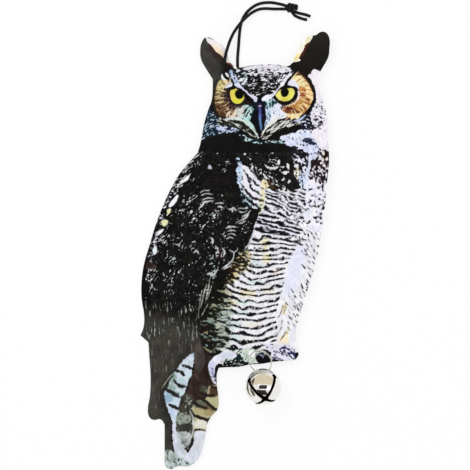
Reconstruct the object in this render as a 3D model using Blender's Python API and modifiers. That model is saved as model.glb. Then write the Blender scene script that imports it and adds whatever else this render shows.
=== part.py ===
# Hanging owl bird scarer, lying on its back on a flat surface.
# A die-cut owl board with a printed film on each face, an elastic cord looped through a hole
# at the base of one ear, and a cross-slotted bell on a wire ring through a hole at the feet.
# Metres, +Z out of the printed front, +Y towards the ears, z = 0 is the surface it lies on.
import math

import bmesh
import bpy
from mathutils import Matrix, Vector

# Board
board_height = 0.420
board_width = 0.1821
core_thickness = 0.0012
film_thickness = 0.0001
glue_gap = 0.00005

# The outline runs clockwise from the left ear's outer base. Each point is a share of the board's
# width, measured from its left edge, and of its height, measured from the tip of the tail.
outline_shares = {
    "left ear": (
        (0.382, 0.892), (0.347, 0.916), (0.321, 0.937), (0.316, 0.958), (0.325, 0.977),
        (0.346, 0.988), (0.391, 0.981), (0.446, 0.963), (0.470, 0.937), (0.497, 0.921),
    ),
    "crown": (
        (0.525, 0.9185), (0.573, 0.922), (0.646, 0.925), (0.725, 0.925), (0.785, 0.922),
    ),
    "right ear": (
        (0.815, 0.942), (0.852, 0.973), (0.894, 0.990), (0.925, 0.992), (0.952, 0.9995),
        (0.979, 0.998), (0.998, 0.984), (0.998, 0.963), (0.992, 0.942), (0.962, 0.918),
    ),
    "right side": (
        (0.931, 0.895), (0.946, 0.871), (0.967, 0.839), (0.986, 0.800), (0.990, 0.758),
        (0.996, 0.705), (0.986, 0.659), (0.974, 0.601), (0.958, 0.550), (0.937, 0.496),
        (0.906, 0.440), (0.869, 0.393), (0.841, 0.350),
    ),
    "feet": (
        (0.821, 0.307), (0.836, 0.262), (0.818, 0.251), (0.758, 0.248), (0.699, 0.2455),
        (0.639, 0.241), (0.573, 0.239), (0.518, 0.234), (0.452, 0.233), (0.414, 0.232),
    ),
    "tail": (
        (0.404, 0.218), (0.404, 0.195), (0.412, 0.165), (0.409, 0.138), (0.375, 0.121),
        (0.355, 0.105), (0.338, 0.064), (0.315, 0.031), (0.291, 0.016), (0.246, 0.006),
        (0.202, 0.007), (0.150, 0.0), (0.128, 0.010),
    ),
    "wing tips": (
        (0.128, 0.044), (0.128, 0.102), (0.106, 0.114), (0.073, 0.112), (0.050, 0.117),
        (0.039, 0.133), (0.050, 0.166), (0.054, 0.211), (0.048, 0.252), (0.042, 0.290),
    ),
    "wing": (
        (0.0, 0.306), (0.015, 0.322), (0.020, 0.349), (0.006, 0.391), (0.007, 0.435),
        (0.021, 0.473), (0.048, 0.512), (0.080, 0.558), (0.118, 0.601), (0.161, 0.641),
        (0.208, 0.676), (0.263, 0.704), (0.303, 0.724),
    ),
    "head": (
        (0.318, 0.746), (0.335, 0.787), (0.358, 0.821), (0.376, 0.842), (0.382, 0.867),
    ),
}
# Points where the outline turns sharply, by run and place in the run.
outline_corners = {
    ("left ear", 0), ("right side", 0), ("feet", 1), ("feet", 9), ("tail", 4),
    ("wing tips", 1), ("wing tips", 9), ("wing", 0), ("wing", 12), ("tail", 12),
}
outline_steps = 3

# Punched holes
cord_hole_diameter = 0.0075
cord_hole_shares = (0.447, 0.898)
ring_hole_diameter = 0.0070
ring_hole_shares = (0.589, 0.2645)
hole_points = 8

# Wire ring
ring_diameter = 0.0236
ring_wire = 0.0011
ring_joint_gap = 0.0004
ring_bearing = math.radians(-43.8)
ring_lean = math.radians(25.0)
ring_joint_turn = math.radians(-45.0)
ring_points = 48

# Bell
bell_diameter = 0.0350
shell_wall = 0.0006
crown_hole_diameter = 0.0029
slot_width = 0.0024
petal_tip_radius = 0.0027
slot_end_diameter = 0.0046
slot_end_drop = 0.0015
slot_turn = math.radians(2.0)
bell_bearing = math.radians(-80.3)
bell_ring_turn = math.radians(-131.6)
bell_segments = 40
bell_rings = 20
petal_tip_points = 5

# Eye of the bell: a wire loop whose two legs pass the crown hole and spread inside
eye_wire = 0.0010
eye_bore = 0.0026
eye_leg_gap = 0.0002
eye_throat_rise = 0.00015
eye_neck = 0.0002
eye_leg_bend = 0.0007
eye_foot_reach = 0.0026
eye_points = 14
eye_bend_points = 4

# Loose ball inside the bell
ball_diameter = 0.0070

# Elastic cord. Its route runs from the knot along the front strand, down through the hole and
# back along the rear strand to the knot, in metres from the hole's centre, z from the surface.
cord_diameter = 0.0030
front_strand = (
    (0.0580, 0.0650, 0.0018), (0.0463, 0.0651, 0.0016), (0.0397, 0.0655, 0.0018),
    (0.0326, 0.0647, 0.0025), (0.0259, 0.0614, 0.0037), (0.0187, 0.0554, 0.0050),
    (0.0138, 0.0498, 0.0057), (0.0088, 0.0427, 0.0064), (0.0050, 0.0349, 0.0069),
    (0.0022, 0.0266, 0.0071), (0.0000, 0.0184, 0.0071), (-0.0013, 0.0108, 0.0071),
)
hole_turn = (
    (-0.0017, 0.0053, 0.0070), (-0.0012, 0.0023, 0.0062), (0.0000, 0.0000, 0.0042),
    (0.0019, -0.0017, 0.0022), (0.0045, -0.0024, 0.0016), (0.0070, -0.0021, 0.0016),
    (0.0095, -0.0006, 0.0016), (0.0112, 0.0015, 0.0016), (0.0120, 0.0045, 0.0016),
)
rear_strand = (
    (0.0121, 0.0084, 0.0016), (0.0121, 0.0184, 0.0016), (0.0130, 0.0294, 0.0016),
    (0.0138, 0.0404, 0.0016), (0.0149, 0.0487, 0.0016), (0.0171, 0.0558, 0.0016),
    (0.0215, 0.0625, 0.0016), (0.0282, 0.0680, 0.0016), (0.0354, 0.0707, 0.0016),
    (0.0436, 0.0713, 0.0016), (0.0500, 0.0704, 0.0016), (0.0578, 0.0684, 0.0018),
)
front_tail = (
    (0.0687, 0.0617, 0.0019), (0.0740, 0.0604, 0.0016), (0.0785, 0.0593, 0.0016),
    (0.0822, 0.0578, 0.0016),
)
rear_tail = (
    (0.0665, 0.0592, 0.0017), (0.0695, 0.0575, 0.0016), (0.0740, 0.0557, 0.0016),
    (0.0790, 0.0546, 0.0016),
)
cord_span_steps = 2

# Knot: the body of the knot and the three turns of cord wound round it
knot_place = (0.0637, 0.0658)
knot_bearing = math.radians(-12.0)
knot_length = 0.0112
knot_width = 0.0078
knot_height = 0.0062
turn_radius = 0.0031
knot_turns = {
    "first": (-0.27, math.radians(14.0)),
    "second": (0.06, math.radians(-10.0)),
    "third": (0.34, math.radians(4.0)),
}
seat_gap = 0.0003
cut_overrun = 0.0020


def clear_scene():
    for obj in list(bpy.data.objects):
        bpy.data.objects.remove(obj, do_unlink=True)


def make_collection(name):
    collection = bpy.data.collections.new(name)
    bpy.context.scene.collection.children.link(collection)
    return collection


def make_material(name, color, roughness, metallic):
    material = bpy.data.materials.new(name)
    material.use_nodes = True
    shader = material.node_tree.nodes["Principled BSDF"]
    shader.inputs["Base Color"].default_value = (*color, 1.0)
    shader.inputs["Roughness"].default_value = roughness
    shader.inputs["Metallic"].default_value = metallic
    return material


def place(obj, parent, world):
    obj.parent = parent
    obj.matrix_parent_inverse = axes[parent].inverted() if parent else Matrix()
    obj.matrix_basis = world


def make_axis(name, parent, world):
    empty = bpy.data.objects.new(name, None)
    empty.empty_display_size = cord_hole_diameter
    parts.objects.link(empty)
    place(empty, parent, world)
    axes[empty] = world
    return empty


def make_part(name, data, material, parent, world):
    obj = bpy.data.objects.new(name, data)
    data.materials.clear()
    data.materials.append(material)
    parts.objects.link(obj)
    place(obj, parent, world)
    return obj


def make_cutter(name, data, world):
    cutter = bpy.data.objects.new(name, data)
    cutters.objects.link(cutter)
    cutter.matrix_basis = world
    cutter.hide_render = True
    cutter.display_type = "WIRE"
    return cutter


def curve_to_mesh(data, name):
    source = bpy.data.objects.new(name, data)
    cutters.objects.link(source)
    evaluated = source.evaluated_get(bpy.context.evaluated_depsgraph_get())
    mesh = bpy.data.meshes.new_from_object(evaluated)
    bpy.data.objects.remove(source)
    bm = bmesh.new()
    bm.from_mesh(mesh)
    bmesh.ops.remove_doubles(bm, verts=bm.verts, dist=merge_distance)
    bmesh.ops.recalc_face_normals(bm, faces=bm.faces)
    bm.to_mesh(mesh)
    bm.free()
    return mesh


def on_board(shares, height):
    across, along = shares
    return Vector((across * board_width, (along - 0.5) * board_height, height))


def circle(center, diameter):
    angles = [math.tau * i / hole_points for i in range(hole_points)]
    return [(center.x + diameter / 2 * math.cos(a), center.y + diameter / 2 * math.sin(a)) for a in angles]


def add_bezier_loop(curve, points, corners):
    spline = curve.splines.new("BEZIER")
    spline.bezier_points.add(len(points) - 1)
    spline.use_cyclic_u = True
    for index, (x, y) in enumerate(points):
        knot = spline.bezier_points[index]
        knot.co = (x, y, 0.0)
        handle = "VECTOR" if index in corners else "AUTO"
        knot.handle_left_type = handle
        knot.handle_right_type = handle


# One layer of the board, from its underside's height over the board's underside.
def make_layer(name, thickness, underside, material):
    curve = bpy.data.curves.new(name, "CURVE")
    curve.dimensions = "2D"
    curve.fill_mode = "BOTH"
    curve.extrude = thickness / 2
    curve.resolution_u = outline_steps
    points = []
    corners = set()
    for run, shares in outline_shares.items():
        for index, share in enumerate(shares):
            if (run, index) in outline_corners:
                corners.add(len(points))
            spot = on_board(share, 0.0)
            points.append((spot.x, spot.y))
    add_bezier_loop(curve, points, corners)
    add_bezier_loop(curve, circle(cord_hole, cord_hole_diameter), set())
    add_bezier_loop(curve, circle(ring_hole, ring_hole_diameter), set())
    lift = Matrix.Translation((0.0, 0.0, underside + thickness / 2))
    return make_part(name, curve, material, board_axis, axes[board_axis] @ lift)


def make_tube(name, points, diameter, material, parent, world):
    curve = bpy.data.curves.new(name, "CURVE")
    curve.dimensions = "3D"
    curve.bevel_depth = diameter / 2
    curve.bevel_resolution = 2
    curve.use_fill_caps = True
    spline = curve.splines.new("POLY")
    spline.points.add(len(points) - 1)
    for knot, point in zip(spline.points, points):
        knot.co = (*point, 1.0)
    spline.use_smooth = True
    return make_part(name, curve, material, parent, world)


# A smooth curve through the route's points, read at even steps between each two of them.
def smooth_route(route, steps):
    knots = [Vector(point) for point in route]
    ahead = [2 * knots[0] - knots[1]] + knots + [2 * knots[-1] - knots[-2]]
    points = []
    for i in range(1, len(ahead) - 2):
        before, start, end, after = ahead[i - 1:i + 3]
        for step in range(steps):
            t = step / steps
            pull = (2 * before - 5 * start + 4 * end - after) * t * t
            curl = (3 * start - before - 3 * end + after) * t * t * t
            points.append((2 * start + (end - before) * t + pull + curl) / 2)
    points.append(knots[-1])
    return points


# The wire ring, in the frame of its hole: it passes square through the middle of the hole at
# turn 0, leaning out of the board by ring_lean, and its far side clears the edge of the foot.
def ring_point(turn):
    side = Vector((-math.sin(ring_bearing), math.cos(ring_bearing), 0.0))
    out = Vector((math.cos(ring_bearing), math.sin(ring_bearing), 0.0))
    rise = side * math.cos(ring_lean) + Vector((0.0, 0.0, math.sin(ring_lean)))
    return ring_radius * ((1 - math.cos(turn)) * out + math.sin(turn) * rise)


def ring_direction(turn):
    step = math.radians(1.0)
    return (ring_point(turn + step) - ring_point(turn - step)).normalized()


def board_matrix(roll):
    across = board_width * math.cos(roll) - board_thickness * math.sin(roll)
    return Matrix.Translation((-across / 2, 0.0, 0.0)) @ Matrix.Rotation(-roll, 4, "Y")


# The board lies on its left edge and on the ring, so its roll is where the ring's lowest point
# just meets the surface.
def find_roll():
    low, high = 0.0, math.radians(45.0)
    turns = [math.tau * i / ring_points for i in range(ring_points)]
    for _ in range(50):
        roll = (low + high) / 2
        hole_frame = board_matrix(roll) @ Matrix.Translation(ring_hole)
        lowest = min((hole_frame @ ring_point(turn)).z for turn in turns) - ring_wire / 2
        if lowest < 0.0:
            low = roll
        else:
            high = roll
    return high


# The bell's frame sits on the ring's wire: +Z points from the bell's middle to its crown and +Y is
# the axis it swings about, square to the eye's loop.
def find_bell_matrix():
    hole_frame = axes[ring_axis]
    seat = hole_frame @ ring_point(bell_ring_turn)
    wire = (hole_frame.to_3x3() @ ring_direction(bell_ring_turn)).normalized()
    climb = math.asin((bell_radius - seat.z) / bell_reach)
    flat = math.cos(climb)
    toward_bell = Vector((flat * math.cos(bell_bearing), flat * math.sin(bell_bearing), math.sin(climb)))
    crown_way = -toward_bell
    swing_way = (wire - wire.dot(crown_way) * crown_way).normalized()
    across = swing_way.cross(crown_way)
    turn = Matrix((across, swing_way, crown_way)).transposed().to_4x4()
    return Matrix.Translation(seat) @ turn


def make_ring(material):
    half_gap = ring_joint_gap / ring_radius / 2
    start = ring_joint_turn + half_gap
    sweep = math.tau - 2 * half_gap
    points = [ring_point(start + sweep * i / ring_points) for i in range(ring_points + 1)]
    return make_tube("bell_ring", points, ring_wire, material, ring_axis, axes[ring_axis])


def make_shell(material):
    profile = []
    inner_radius = bell_radius - shell_wall
    for radius, order in ((inner_radius, range(bell_rings, -1, -1)), (bell_radius, range(bell_rings + 1))):
        first = math.asin(crown_hole_diameter / 2 / radius)
        for i in order:
            angle = first + (math.pi - first) * i / bell_rings
            out = 0.0 if i == bell_rings else radius * math.sin(angle)
            profile.append((out, 0.0, radius * math.cos(angle)))
    mesh = bpy.data.meshes.new("bell_shell")
    mesh.from_pydata(profile, [(i, i + 1) for i in range(len(profile) - 1)], [])
    world = axes[bell_axis] @ bell_middle
    shell = make_part("bell_shell", mesh, material, bell_axis, world)
    screw = shell.modifiers.new("turn", "SCREW")
    screw.axis = "Z"
    screw.steps = bell_segments
    screw.render_steps = bell_segments
    screw.use_merge_vertices = True
    screw.merge_threshold = merge_distance
    screw.use_smooth_shade = True
    for cutter in make_slot_cutters(world):
        cut = shell.modifiers.new(cutter.name, "BOOLEAN")
        cut.operation = "DIFFERENCE"
        cut.solver = "EXACT"
        cut.object = cutter
    return shell


# Four slots meet at the pole opposite the crown. The petals between them have round tips, and each
# slot ends in a round hole near the bell's widest line.
def make_slot_cutters(world):
    reach = bell_radius + cut_overrun
    half = slot_width / 2
    corner = half + petal_tip_radius
    outline = []
    for quarter in range(4):
        turn = Matrix.Rotation(math.tau / 4 * quarter + math.tau / 8 + slot_turn, 2)
        outline.append(turn @ Vector((reach, half)))
        for i in range(petal_tip_points):
            angle = -math.tau / 4 - math.tau / 4 * i / (petal_tip_points - 1)
            tip = Vector((math.cos(angle), math.sin(angle))) * petal_tip_radius
            outline.append(turn @ (Vector((corner, corner)) + tip))
        outline.append(turn @ Vector((half, reach)))
    curve = bpy.data.curves.new("slot_cross", "CURVE")
    curve.dimensions = "2D"
    curve.fill_mode = "BOTH"
    depth = reach - slot_end_drop
    curve.extrude = depth / 2
    spline = curve.splines.new("POLY")
    spline.points.add(len(outline) - 1)
    spline.use_cyclic_u = True
    for knot, point in zip(spline.points, outline):
        knot.co = (point.x, point.y, 0.0, 1.0)
    cross = curve_to_mesh(curve, "slot_cross")
    lower = Matrix.Translation((0.0, 0.0, -slot_end_drop - depth / 2))
    cutter_list = [make_cutter("slot_cross", cross, world @ lower)]
    for index in range(2):
        bm = bmesh.new()
        bmesh.ops.create_cone(
            bm, cap_ends=True, segments=24, radius1=slot_end_diameter / 2,
            radius2=slot_end_diameter / 2, depth=2 * reach,
        )
        mesh = bpy.data.meshes.new("slot_ends")
        bm.to_mesh(mesh)
        bm.free()
        spin = Matrix.Rotation(math.tau / 4 * index + math.tau / 8 + slot_turn, 4, "Z")
        tip_over = Matrix.Rotation(math.tau / 4, 4, "Y")
        drop = Matrix.Translation((0.0, 0.0, -slot_end_drop))
        cutter_list.append(make_cutter(f"slot_ends_{index + 1}", mesh, world @ drop @ spin @ tip_over))
    return cutter_list


# Half of the eye's wire, from the foot inside the bell to the top of the loop, as across and along
# the bell's axis with the crown's outer surface at zero.
def eye_half():
    leg = (eye_leg_gap + eye_wire) / 2
    foot = leg + eye_foot_reach
    ceiling = math.sqrt((bell_radius - shell_wall) ** 2 - foot ** 2) - bell_radius
    base = ceiling - seat_gap - eye_wire / 2
    bend = eye_leg_bend + eye_wire / 2
    points = [(foot, base)]
    for i in range(eye_bend_points):
        angle = math.tau / 4 * i / (eye_bend_points - 1)
        points.append((leg + bend - bend * math.sin(angle), base + bend - bend * math.cos(angle)))
    points.append((leg, eye_throat_rise))
    drop = eye_rise - eye_throat_rise
    first = math.acos(eye_loop_radius / math.hypot(leg, drop)) - math.atan2(drop, leg)
    for i in range(eye_points):
        turn = first + (math.tau / 4 - first) * i / (eye_points - 1)
        points.append((eye_loop_radius * math.cos(turn), eye_rise + eye_loop_radius * math.sin(turn)))
    return points


def make_eye(material):
    half = eye_half()
    wire = half + [(-across, along) for across, along in reversed(half[:-1])]
    crown = bell_radius - bell_reach
    points = [(across, 0.0, crown + along) for across, along in wire]
    return make_tube("bell_eye", points, eye_wire, material, bell_axis, axes[bell_axis])


def make_ball(material):
    bm = bmesh.new()
    bmesh.ops.create_uvsphere(bm, u_segments=20, v_segments=12, radius=ball_diameter / 2)
    mesh = bpy.data.meshes.new("bell_ball")
    bm.to_mesh(mesh)
    bm.free()
    mesh.shade_smooth()
    middle = (axes[bell_axis] @ bell_middle).translation
    drop = bell_radius - shell_wall - seat_gap - ball_diameter / 2
    world = Matrix.Translation(middle - Vector((0.0, 0.0, drop)))
    return make_part("bell_ball", mesh, material, bell_axis, world)


# Cord points are kept from the middle of the cord's hole, and their heights from the surface.
def cord_points(route):
    hole = axes[cord_axis].translation
    return [point - Vector((0.0, 0.0, hole.z)) for point in smooth_route(route, cord_span_steps)]


def make_knot_turn(name, along, skew, lift):
    bpy.ops.mesh.primitive_torus_add(
        major_segments=20, minor_segments=8, major_radius=turn_radius, minor_radius=cord_diameter / 2,
    )
    turn = bpy.context.object
    turn.name = name
    turn.data.transform(Matrix.Rotation(math.tau / 4, 4, "Y"))
    turn.data.transform(Matrix.Rotation(skew, 4, "Z"))
    flatness = knot_height / (2 * turn_radius + cord_diameter)
    turn.data.transform(Matrix.Diagonal((1.0, 1.0, flatness, 1.0)))
    turn.data.transform(lift @ Matrix.Translation((along * knot_length, 0.0, 0.0)))
    bpy.context.collection.objects.unlink(turn)
    cutters.objects.link(turn)
    turn.hide_render = True
    turn.display_type = "WIRE"
    return turn


def make_knot(material):
    bm = bmesh.new()
    bmesh.ops.create_uvsphere(bm, u_segments=20, v_segments=12, radius=0.5)
    mesh = bpy.data.meshes.new("cord_knot")
    bm.to_mesh(mesh)
    bm.free()
    mesh.transform(Matrix.Diagonal((knot_length, knot_width, knot_height, 1.0)))
    mesh.shade_smooth()
    hole = axes[cord_axis].translation
    spot = Matrix.Translation((hole.x + knot_place[0], hole.y + knot_place[1], knot_height / 2))
    world = spot @ Matrix.Rotation(knot_bearing, 4, "Z")
    knot = make_part("cord_knot", mesh, material, cord_axis, world)
    for name, (along, skew) in knot_turns.items():
        join = knot.modifiers.new(name, "BOOLEAN")
        join.operation = "UNION"
        join.solver = "EXACT"
        join.object = make_knot_turn(f"knot_{name}_turn", along, skew, world)
    return knot


merge_distance = 0.0001
bell_radius = bell_diameter / 2
ring_radius = (ring_diameter - ring_wire) / 2
board_thickness = core_thickness + 2 * (film_thickness + glue_gap)
eye_loop_radius = (eye_bore + eye_wire) / 2
eye_rise = eye_throat_rise + eye_loop_radius + eye_neck
bell_reach = bell_radius + eye_rise + (eye_bore - ring_wire) / 2 - seat_gap
bell_middle = Matrix.Translation((0.0, 0.0, -bell_reach))
cord_hole = on_board(cord_hole_shares, board_thickness / 2)
ring_hole = on_board(ring_hole_shares, board_thickness / 2)

clear_scene()
axes = {None: Matrix()}
parts = make_collection("hanging_owl_bird_scarer")
cutters = make_collection("cutters")

board_plastic = make_material("board_plastic", (0.85, 0.85, 0.84), 0.45, 0.0)
front_film = make_material("front_film", (0.07, 0.065, 0.06), 0.18, 0.0)
back_film = make_material("back_film", (0.07, 0.065, 0.06), 0.18, 0.0)
cord_black = make_material("cord_black", (0.012, 0.012, 0.013), 0.75, 0.0)
wire_metal = make_material("wire_metal", (0.72, 0.72, 0.73), 0.22, 1.0)
bell_metal = make_material("bell_metal", (0.80, 0.79, 0.77), 0.12, 1.0)

board_axis = make_axis("board_axis", None, board_matrix(find_roll()))
board = axes[board_axis]
cord_axis = make_axis("cord_axis", board_axis, Matrix.Translation(board @ cord_hole))
ring_axis = make_axis("ring_axis", board_axis, board @ Matrix.Translation(ring_hole))
bell_axis = make_axis("bell_axis", ring_axis, find_bell_matrix())

make_layer("back_print", film_thickness, 0.0, back_film)
make_layer("core_board", core_thickness, film_thickness + glue_gap, board_plastic)
make_layer("front_print", film_thickness, board_thickness - film_thickness, front_film)

make_ring(wire_metal)
make_shell(bell_metal)
make_eye(wire_metal)
make_ball(bell_metal)

loop_route = front_strand + hole_turn + rear_strand
cord_runs = {
    "hanging_cord": loop_route,
    "cord_end_front": front_tail,
    "cord_end_back": rear_tail,
}
for run_name, run_route in cord_runs.items():
    make_tube(run_name, cord_points(run_route), cord_diameter, cord_black, cord_axis, axes[cord_axis])
make_knot(cord_black)
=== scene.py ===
import math
import bpy
import bmesh
import numpy as np
from mathutils import Matrix, Vector


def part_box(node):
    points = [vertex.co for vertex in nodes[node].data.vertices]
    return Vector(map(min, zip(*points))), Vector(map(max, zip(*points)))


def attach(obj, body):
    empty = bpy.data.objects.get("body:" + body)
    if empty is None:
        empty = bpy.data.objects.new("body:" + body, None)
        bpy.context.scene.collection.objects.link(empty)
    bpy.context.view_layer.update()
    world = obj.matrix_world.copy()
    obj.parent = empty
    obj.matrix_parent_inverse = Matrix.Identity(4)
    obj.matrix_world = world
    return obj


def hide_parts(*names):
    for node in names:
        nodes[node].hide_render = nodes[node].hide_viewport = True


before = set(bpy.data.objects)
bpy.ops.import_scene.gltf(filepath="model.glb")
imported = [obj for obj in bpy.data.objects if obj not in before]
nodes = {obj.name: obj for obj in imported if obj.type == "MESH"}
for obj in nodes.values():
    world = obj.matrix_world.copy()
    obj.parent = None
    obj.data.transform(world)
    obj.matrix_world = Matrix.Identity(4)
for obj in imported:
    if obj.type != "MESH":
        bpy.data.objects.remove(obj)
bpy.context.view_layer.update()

# How the print lies in the photograph: picture units are its pixels
pictureUnit = 0.000961
pictureMiddle = (235.05, 250.55)


# painting the owl, in numpy


def ease(low, high, value):
    t = np.clip((value - low) / (high - low), 0.0, 1.0)
    return t * t * (3.0 - 2.0 * t)


def seededCloud(tall, wide, cellTall, cellWide, seed):
    # smooth noise from -1 to 1, one random value a cell
    rng = np.random.default_rng(seed)
    rows = int(tall / cellTall) + 3
    columns = int(wide / cellWide) + 3
    lattice = rng.uniform(-1.0, 1.0, (rows, columns)).astype(np.float32)
    y = np.arange(tall, dtype=np.float32) / cellTall
    x = np.arange(wide, dtype=np.float32) / cellWide
    yi = y.astype(int)
    xi = x.astype(int)
    fy = ease(0.0, 1.0, y - yi)[:, None]
    fx = ease(0.0, 1.0, x - xi)[None, :]
    top = lattice[yi][:, xi] * (1.0 - fx) + lattice[yi][:, xi + 1] * fx
    low = lattice[yi + 1][:, xi] * (1.0 - fx) + lattice[yi + 1][:, xi + 1] * fx
    return top * (1.0 - fy) + low * fy


def latticeNoise(s, t, seed):
    # the same kind of noise at any coordinates, repeating far away
    size = 128
    lattice = np.random.default_rng(seed).uniform(-1.0, 1.0, (size, size)).astype(np.float32)
    si = np.floor(s).astype(int)
    ti = np.floor(t).astype(int)
    fs = ease(0.0, 1.0, s - si)
    ft = ease(0.0, 1.0, t - ti)
    a = si % size
    b = (si + 1) % size
    c = ti % size
    d = (ti + 1) % size
    top = lattice[c, a] * (1.0 - fs) + lattice[c, b] * fs
    low = lattice[d, a] * (1.0 - fs) + lattice[d, b] * fs
    return top * (1.0 - ft) + low * ft


def smoothLine(points, steps=6, closed=False):
    # a rounded line through given points
    p = np.asarray(points, float)
    count = len(p)
    if count < 3:
        return p
    found = []
    spans = count if closed else count - 1
    for i in range(spans):
        if closed:
            a, b, c, d = (p[(i + k) % count] for k in (-1, 0, 1, 2))
        else:
            a, b, c, d = p[max(i - 1, 0)], p[i], p[i + 1], p[min(i + 2, count - 1)]
        for s in range(steps):
            t = s / steps
            found.append(0.5 * (2.0 * b + (c - a) * t + (2.0 * a - 5.0 * b + 4.0 * c - d) * t * t
                                + (3.0 * b - a - 3.0 * c + d) * t ** 3))
    if not closed:
        found.append(p[-1])
    return np.array(found)


def nearSegment(x, y, a, b):
    # where along the segment each sample's nearest point lies, and its squared distance from it
    dx, dy = b - a
    long = max(dx * dx + dy * dy, 1e-9)
    t = np.clip(((x - a[0]) * dx + (y - a[1]) * dy) / long, 0.0, 1.0)
    return t, (x - a[0] - t * dx) ** 2 + (y - a[1] - t * dy) ** 2


class OwlPicture:
    # ink is a signed distance in picture units, above zero where the print is dark; paper and
    # dark are the colours of its light and dark parts. Points are given as x and y in turn. Soft
    # is the width of an edge and rough how far it strays, share how much of a patch is laid on,
    # tone how far its colour follows the grain, and clump and sway how far the grain gathers in
    # patches and wanders.
    def __init__(self, left, top, wide, tall, step):
        self.left = left
        self.top = top
        self.step = step
        self.across = wide * step
        self.down = tall * step
        self.ink = np.full((self.down, self.across), 3.0, np.float32)
        self.paper = np.empty((self.down, self.across, 3), np.float32)
        self.paper[:] = (226, 226, 236)
        self.dark = np.empty((self.down, self.across, 3), np.float32)
        self.dark[:] = (21, 19, 17)
        self.x = (left + (np.arange(self.across, dtype=np.float32) + 0.5) / step)[None, :]
        self.y = (top + (np.arange(self.down, dtype=np.float32) + 0.5) / step)[:, None]
        clouds = []
        for n, cell in enumerate((7.0, 3.2, 1.5, 0.8)):
            clouds.append(seededCloud(self.down, self.across, cell * step, cell * step, 11 + n))
        self.broad, self.middle, self.fine, self.grain = clouds
        self.ruffle = 0.55 * self.middle + 0.5 * self.fine + 0.35 * self.grain
        self.page()

    def page(self, left=0, top=0, zoom=1):
        # the corner and scale of the sheet that the next points are written on
        self.pageLeft = left
        self.pageTop = top
        self.zoom = zoom

    def spot(self, points):
        p = np.asarray(points, float).reshape(-1, 2) / self.zoom
        return p + (self.pageLeft, self.pageTop)

    def window(self, p, reach):
        x0 = int(max(0, (p[:, 0].min() - reach - self.left) * self.step))
        x1 = int(min(self.across, (p[:, 0].max() + reach - self.left) * self.step + 2))
        y0 = int(max(0, (p[:, 1].min() - reach - self.top) * self.step))
        y1 = int(min(self.down, (p[:, 1].max() + reach - self.top) * self.step + 2))
        if x1 <= x0 or y1 <= y0:
            return None
        return slice(y0, y1), slice(x0, x1)

    def insideBy(self, p, w):
        # how far inside the outline each sample of the window lies
        x = self.x[:, w[1]]
        y = self.y[w[0], :]
        nearest = np.full((y.shape[0], x.shape[1]), 1e9, np.float32)
        inside = np.zeros(nearest.shape, bool)
        for a, b in zip(p, np.roll(p, -1, 0)):
            nearest = np.minimum(nearest, nearSegment(x, y, a, b)[1])
            dx, dy = b - a
            if dy:
                crosses = (a[1] > y) != (b[1] > y)
                inside ^= crosses & (x < a[0] + (y - a[1]) * dx / dy)
        far = np.sqrt(nearest)
        return np.where(inside, far, -far)

    def area(self, points, ink=None, paper=None, dark=None, soft=1.0, rough=0.8, share=1.0, mottle=0.0):
        # a soft-edged patch of its own ink level or colours
        p = smoothLine(self.spot(points), 4, True)
        w = self.window(p, soft + rough * 1.5)
        if w is None:
            return
        depth = self.insideBy(p, w) + rough * self.ruffle[w]
        mask = ease(-soft, soft, depth) * share
        if ink is not None:
            goal = ink + mottle * (self.middle[w] + self.fine[w])
            self.ink[w] += (goal - self.ink[w]) * mask
        self.tint(w, mask, paper, dark)

    def shape(self, points, light=False, rough=0.35, paper=None, dark=None):
        # a crisp mark of its own outline
        p = smoothLine(self.spot(points), 4, True)
        w = self.window(p, 2.5)
        if w is None:
            return
        depth = np.clip(self.insideBy(p, w) + rough * self.ruffle[w], -3.0, 3.0)
        self.lay(w, depth, light, paper, dark)

    def tint(self, w, mask, paper, dark):
        for layer, colour in ((self.paper, paper), (self.dark, dark)):
            if colour is not None:
                layer[w] += (np.array(colour, np.float32) - layer[w]) * mask[..., None]

    def lay(self, w, depth, light, paper, dark):
        if light:
            self.ink[w] = np.minimum(self.ink[w], -depth)
        else:
            self.ink[w] = np.maximum(self.ink[w], depth)
        self.tint(w, ease(-0.8, 0.2, depth), paper, dark)

    def sheenVeil(self, points, dark, soft):
        # lifts the dark colour alone towards a painted sheen, behind whatever marks lie there
        p = smoothLine(self.spot(points), 3, True)
        w = self.window(p, soft)
        self.tint(w, ease(-soft, soft, self.insideBy(p, w)), None, dark)

    def line(self, points, wide, light=False, tips=(0.25, 0.25), rough=0.2, paper=None, dark=None,
             steps=5):
        # a brush stroke that thins towards both tips; wide is in picture units
        p = smoothLine(self.spot(points), steps)
        w = self.window(p, wide * 0.5 + 1.6)
        if w is None:
            return
        x = self.x[:, w[1]]
        y = self.y[w[0], :]
        depth = np.full((y.shape[0], x.shape[1]), -9.0, np.float32)
        gone = np.concatenate([[0.0], np.cumsum(np.hypot(*np.diff(p, axis=0).T))])
        gone /= max(gone[-1], 1e-9)
        half = 0.5 * wide * np.minimum(1.0, np.minimum(tips[0] + gone * 3.2, tips[1] + (1.0 - gone) * 3.2))
        for a, b, ha, hb in zip(p[:-1], p[1:], half[:-1], half[1:]):
            t, far = nearSegment(x, y, a, b)
            depth = np.maximum(depth, ha + (hb - ha) * t - np.sqrt(far))
        self.lay(w, depth + rough * self.ruffle[w], light, paper, dark)

    def flecks(self, points, gap, long, wide, turn, light, seed, spread=25.0, keep=0.8, bend=0.15,
               paper=None, dark=None, tones=(1.0, 1.0)):
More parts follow.
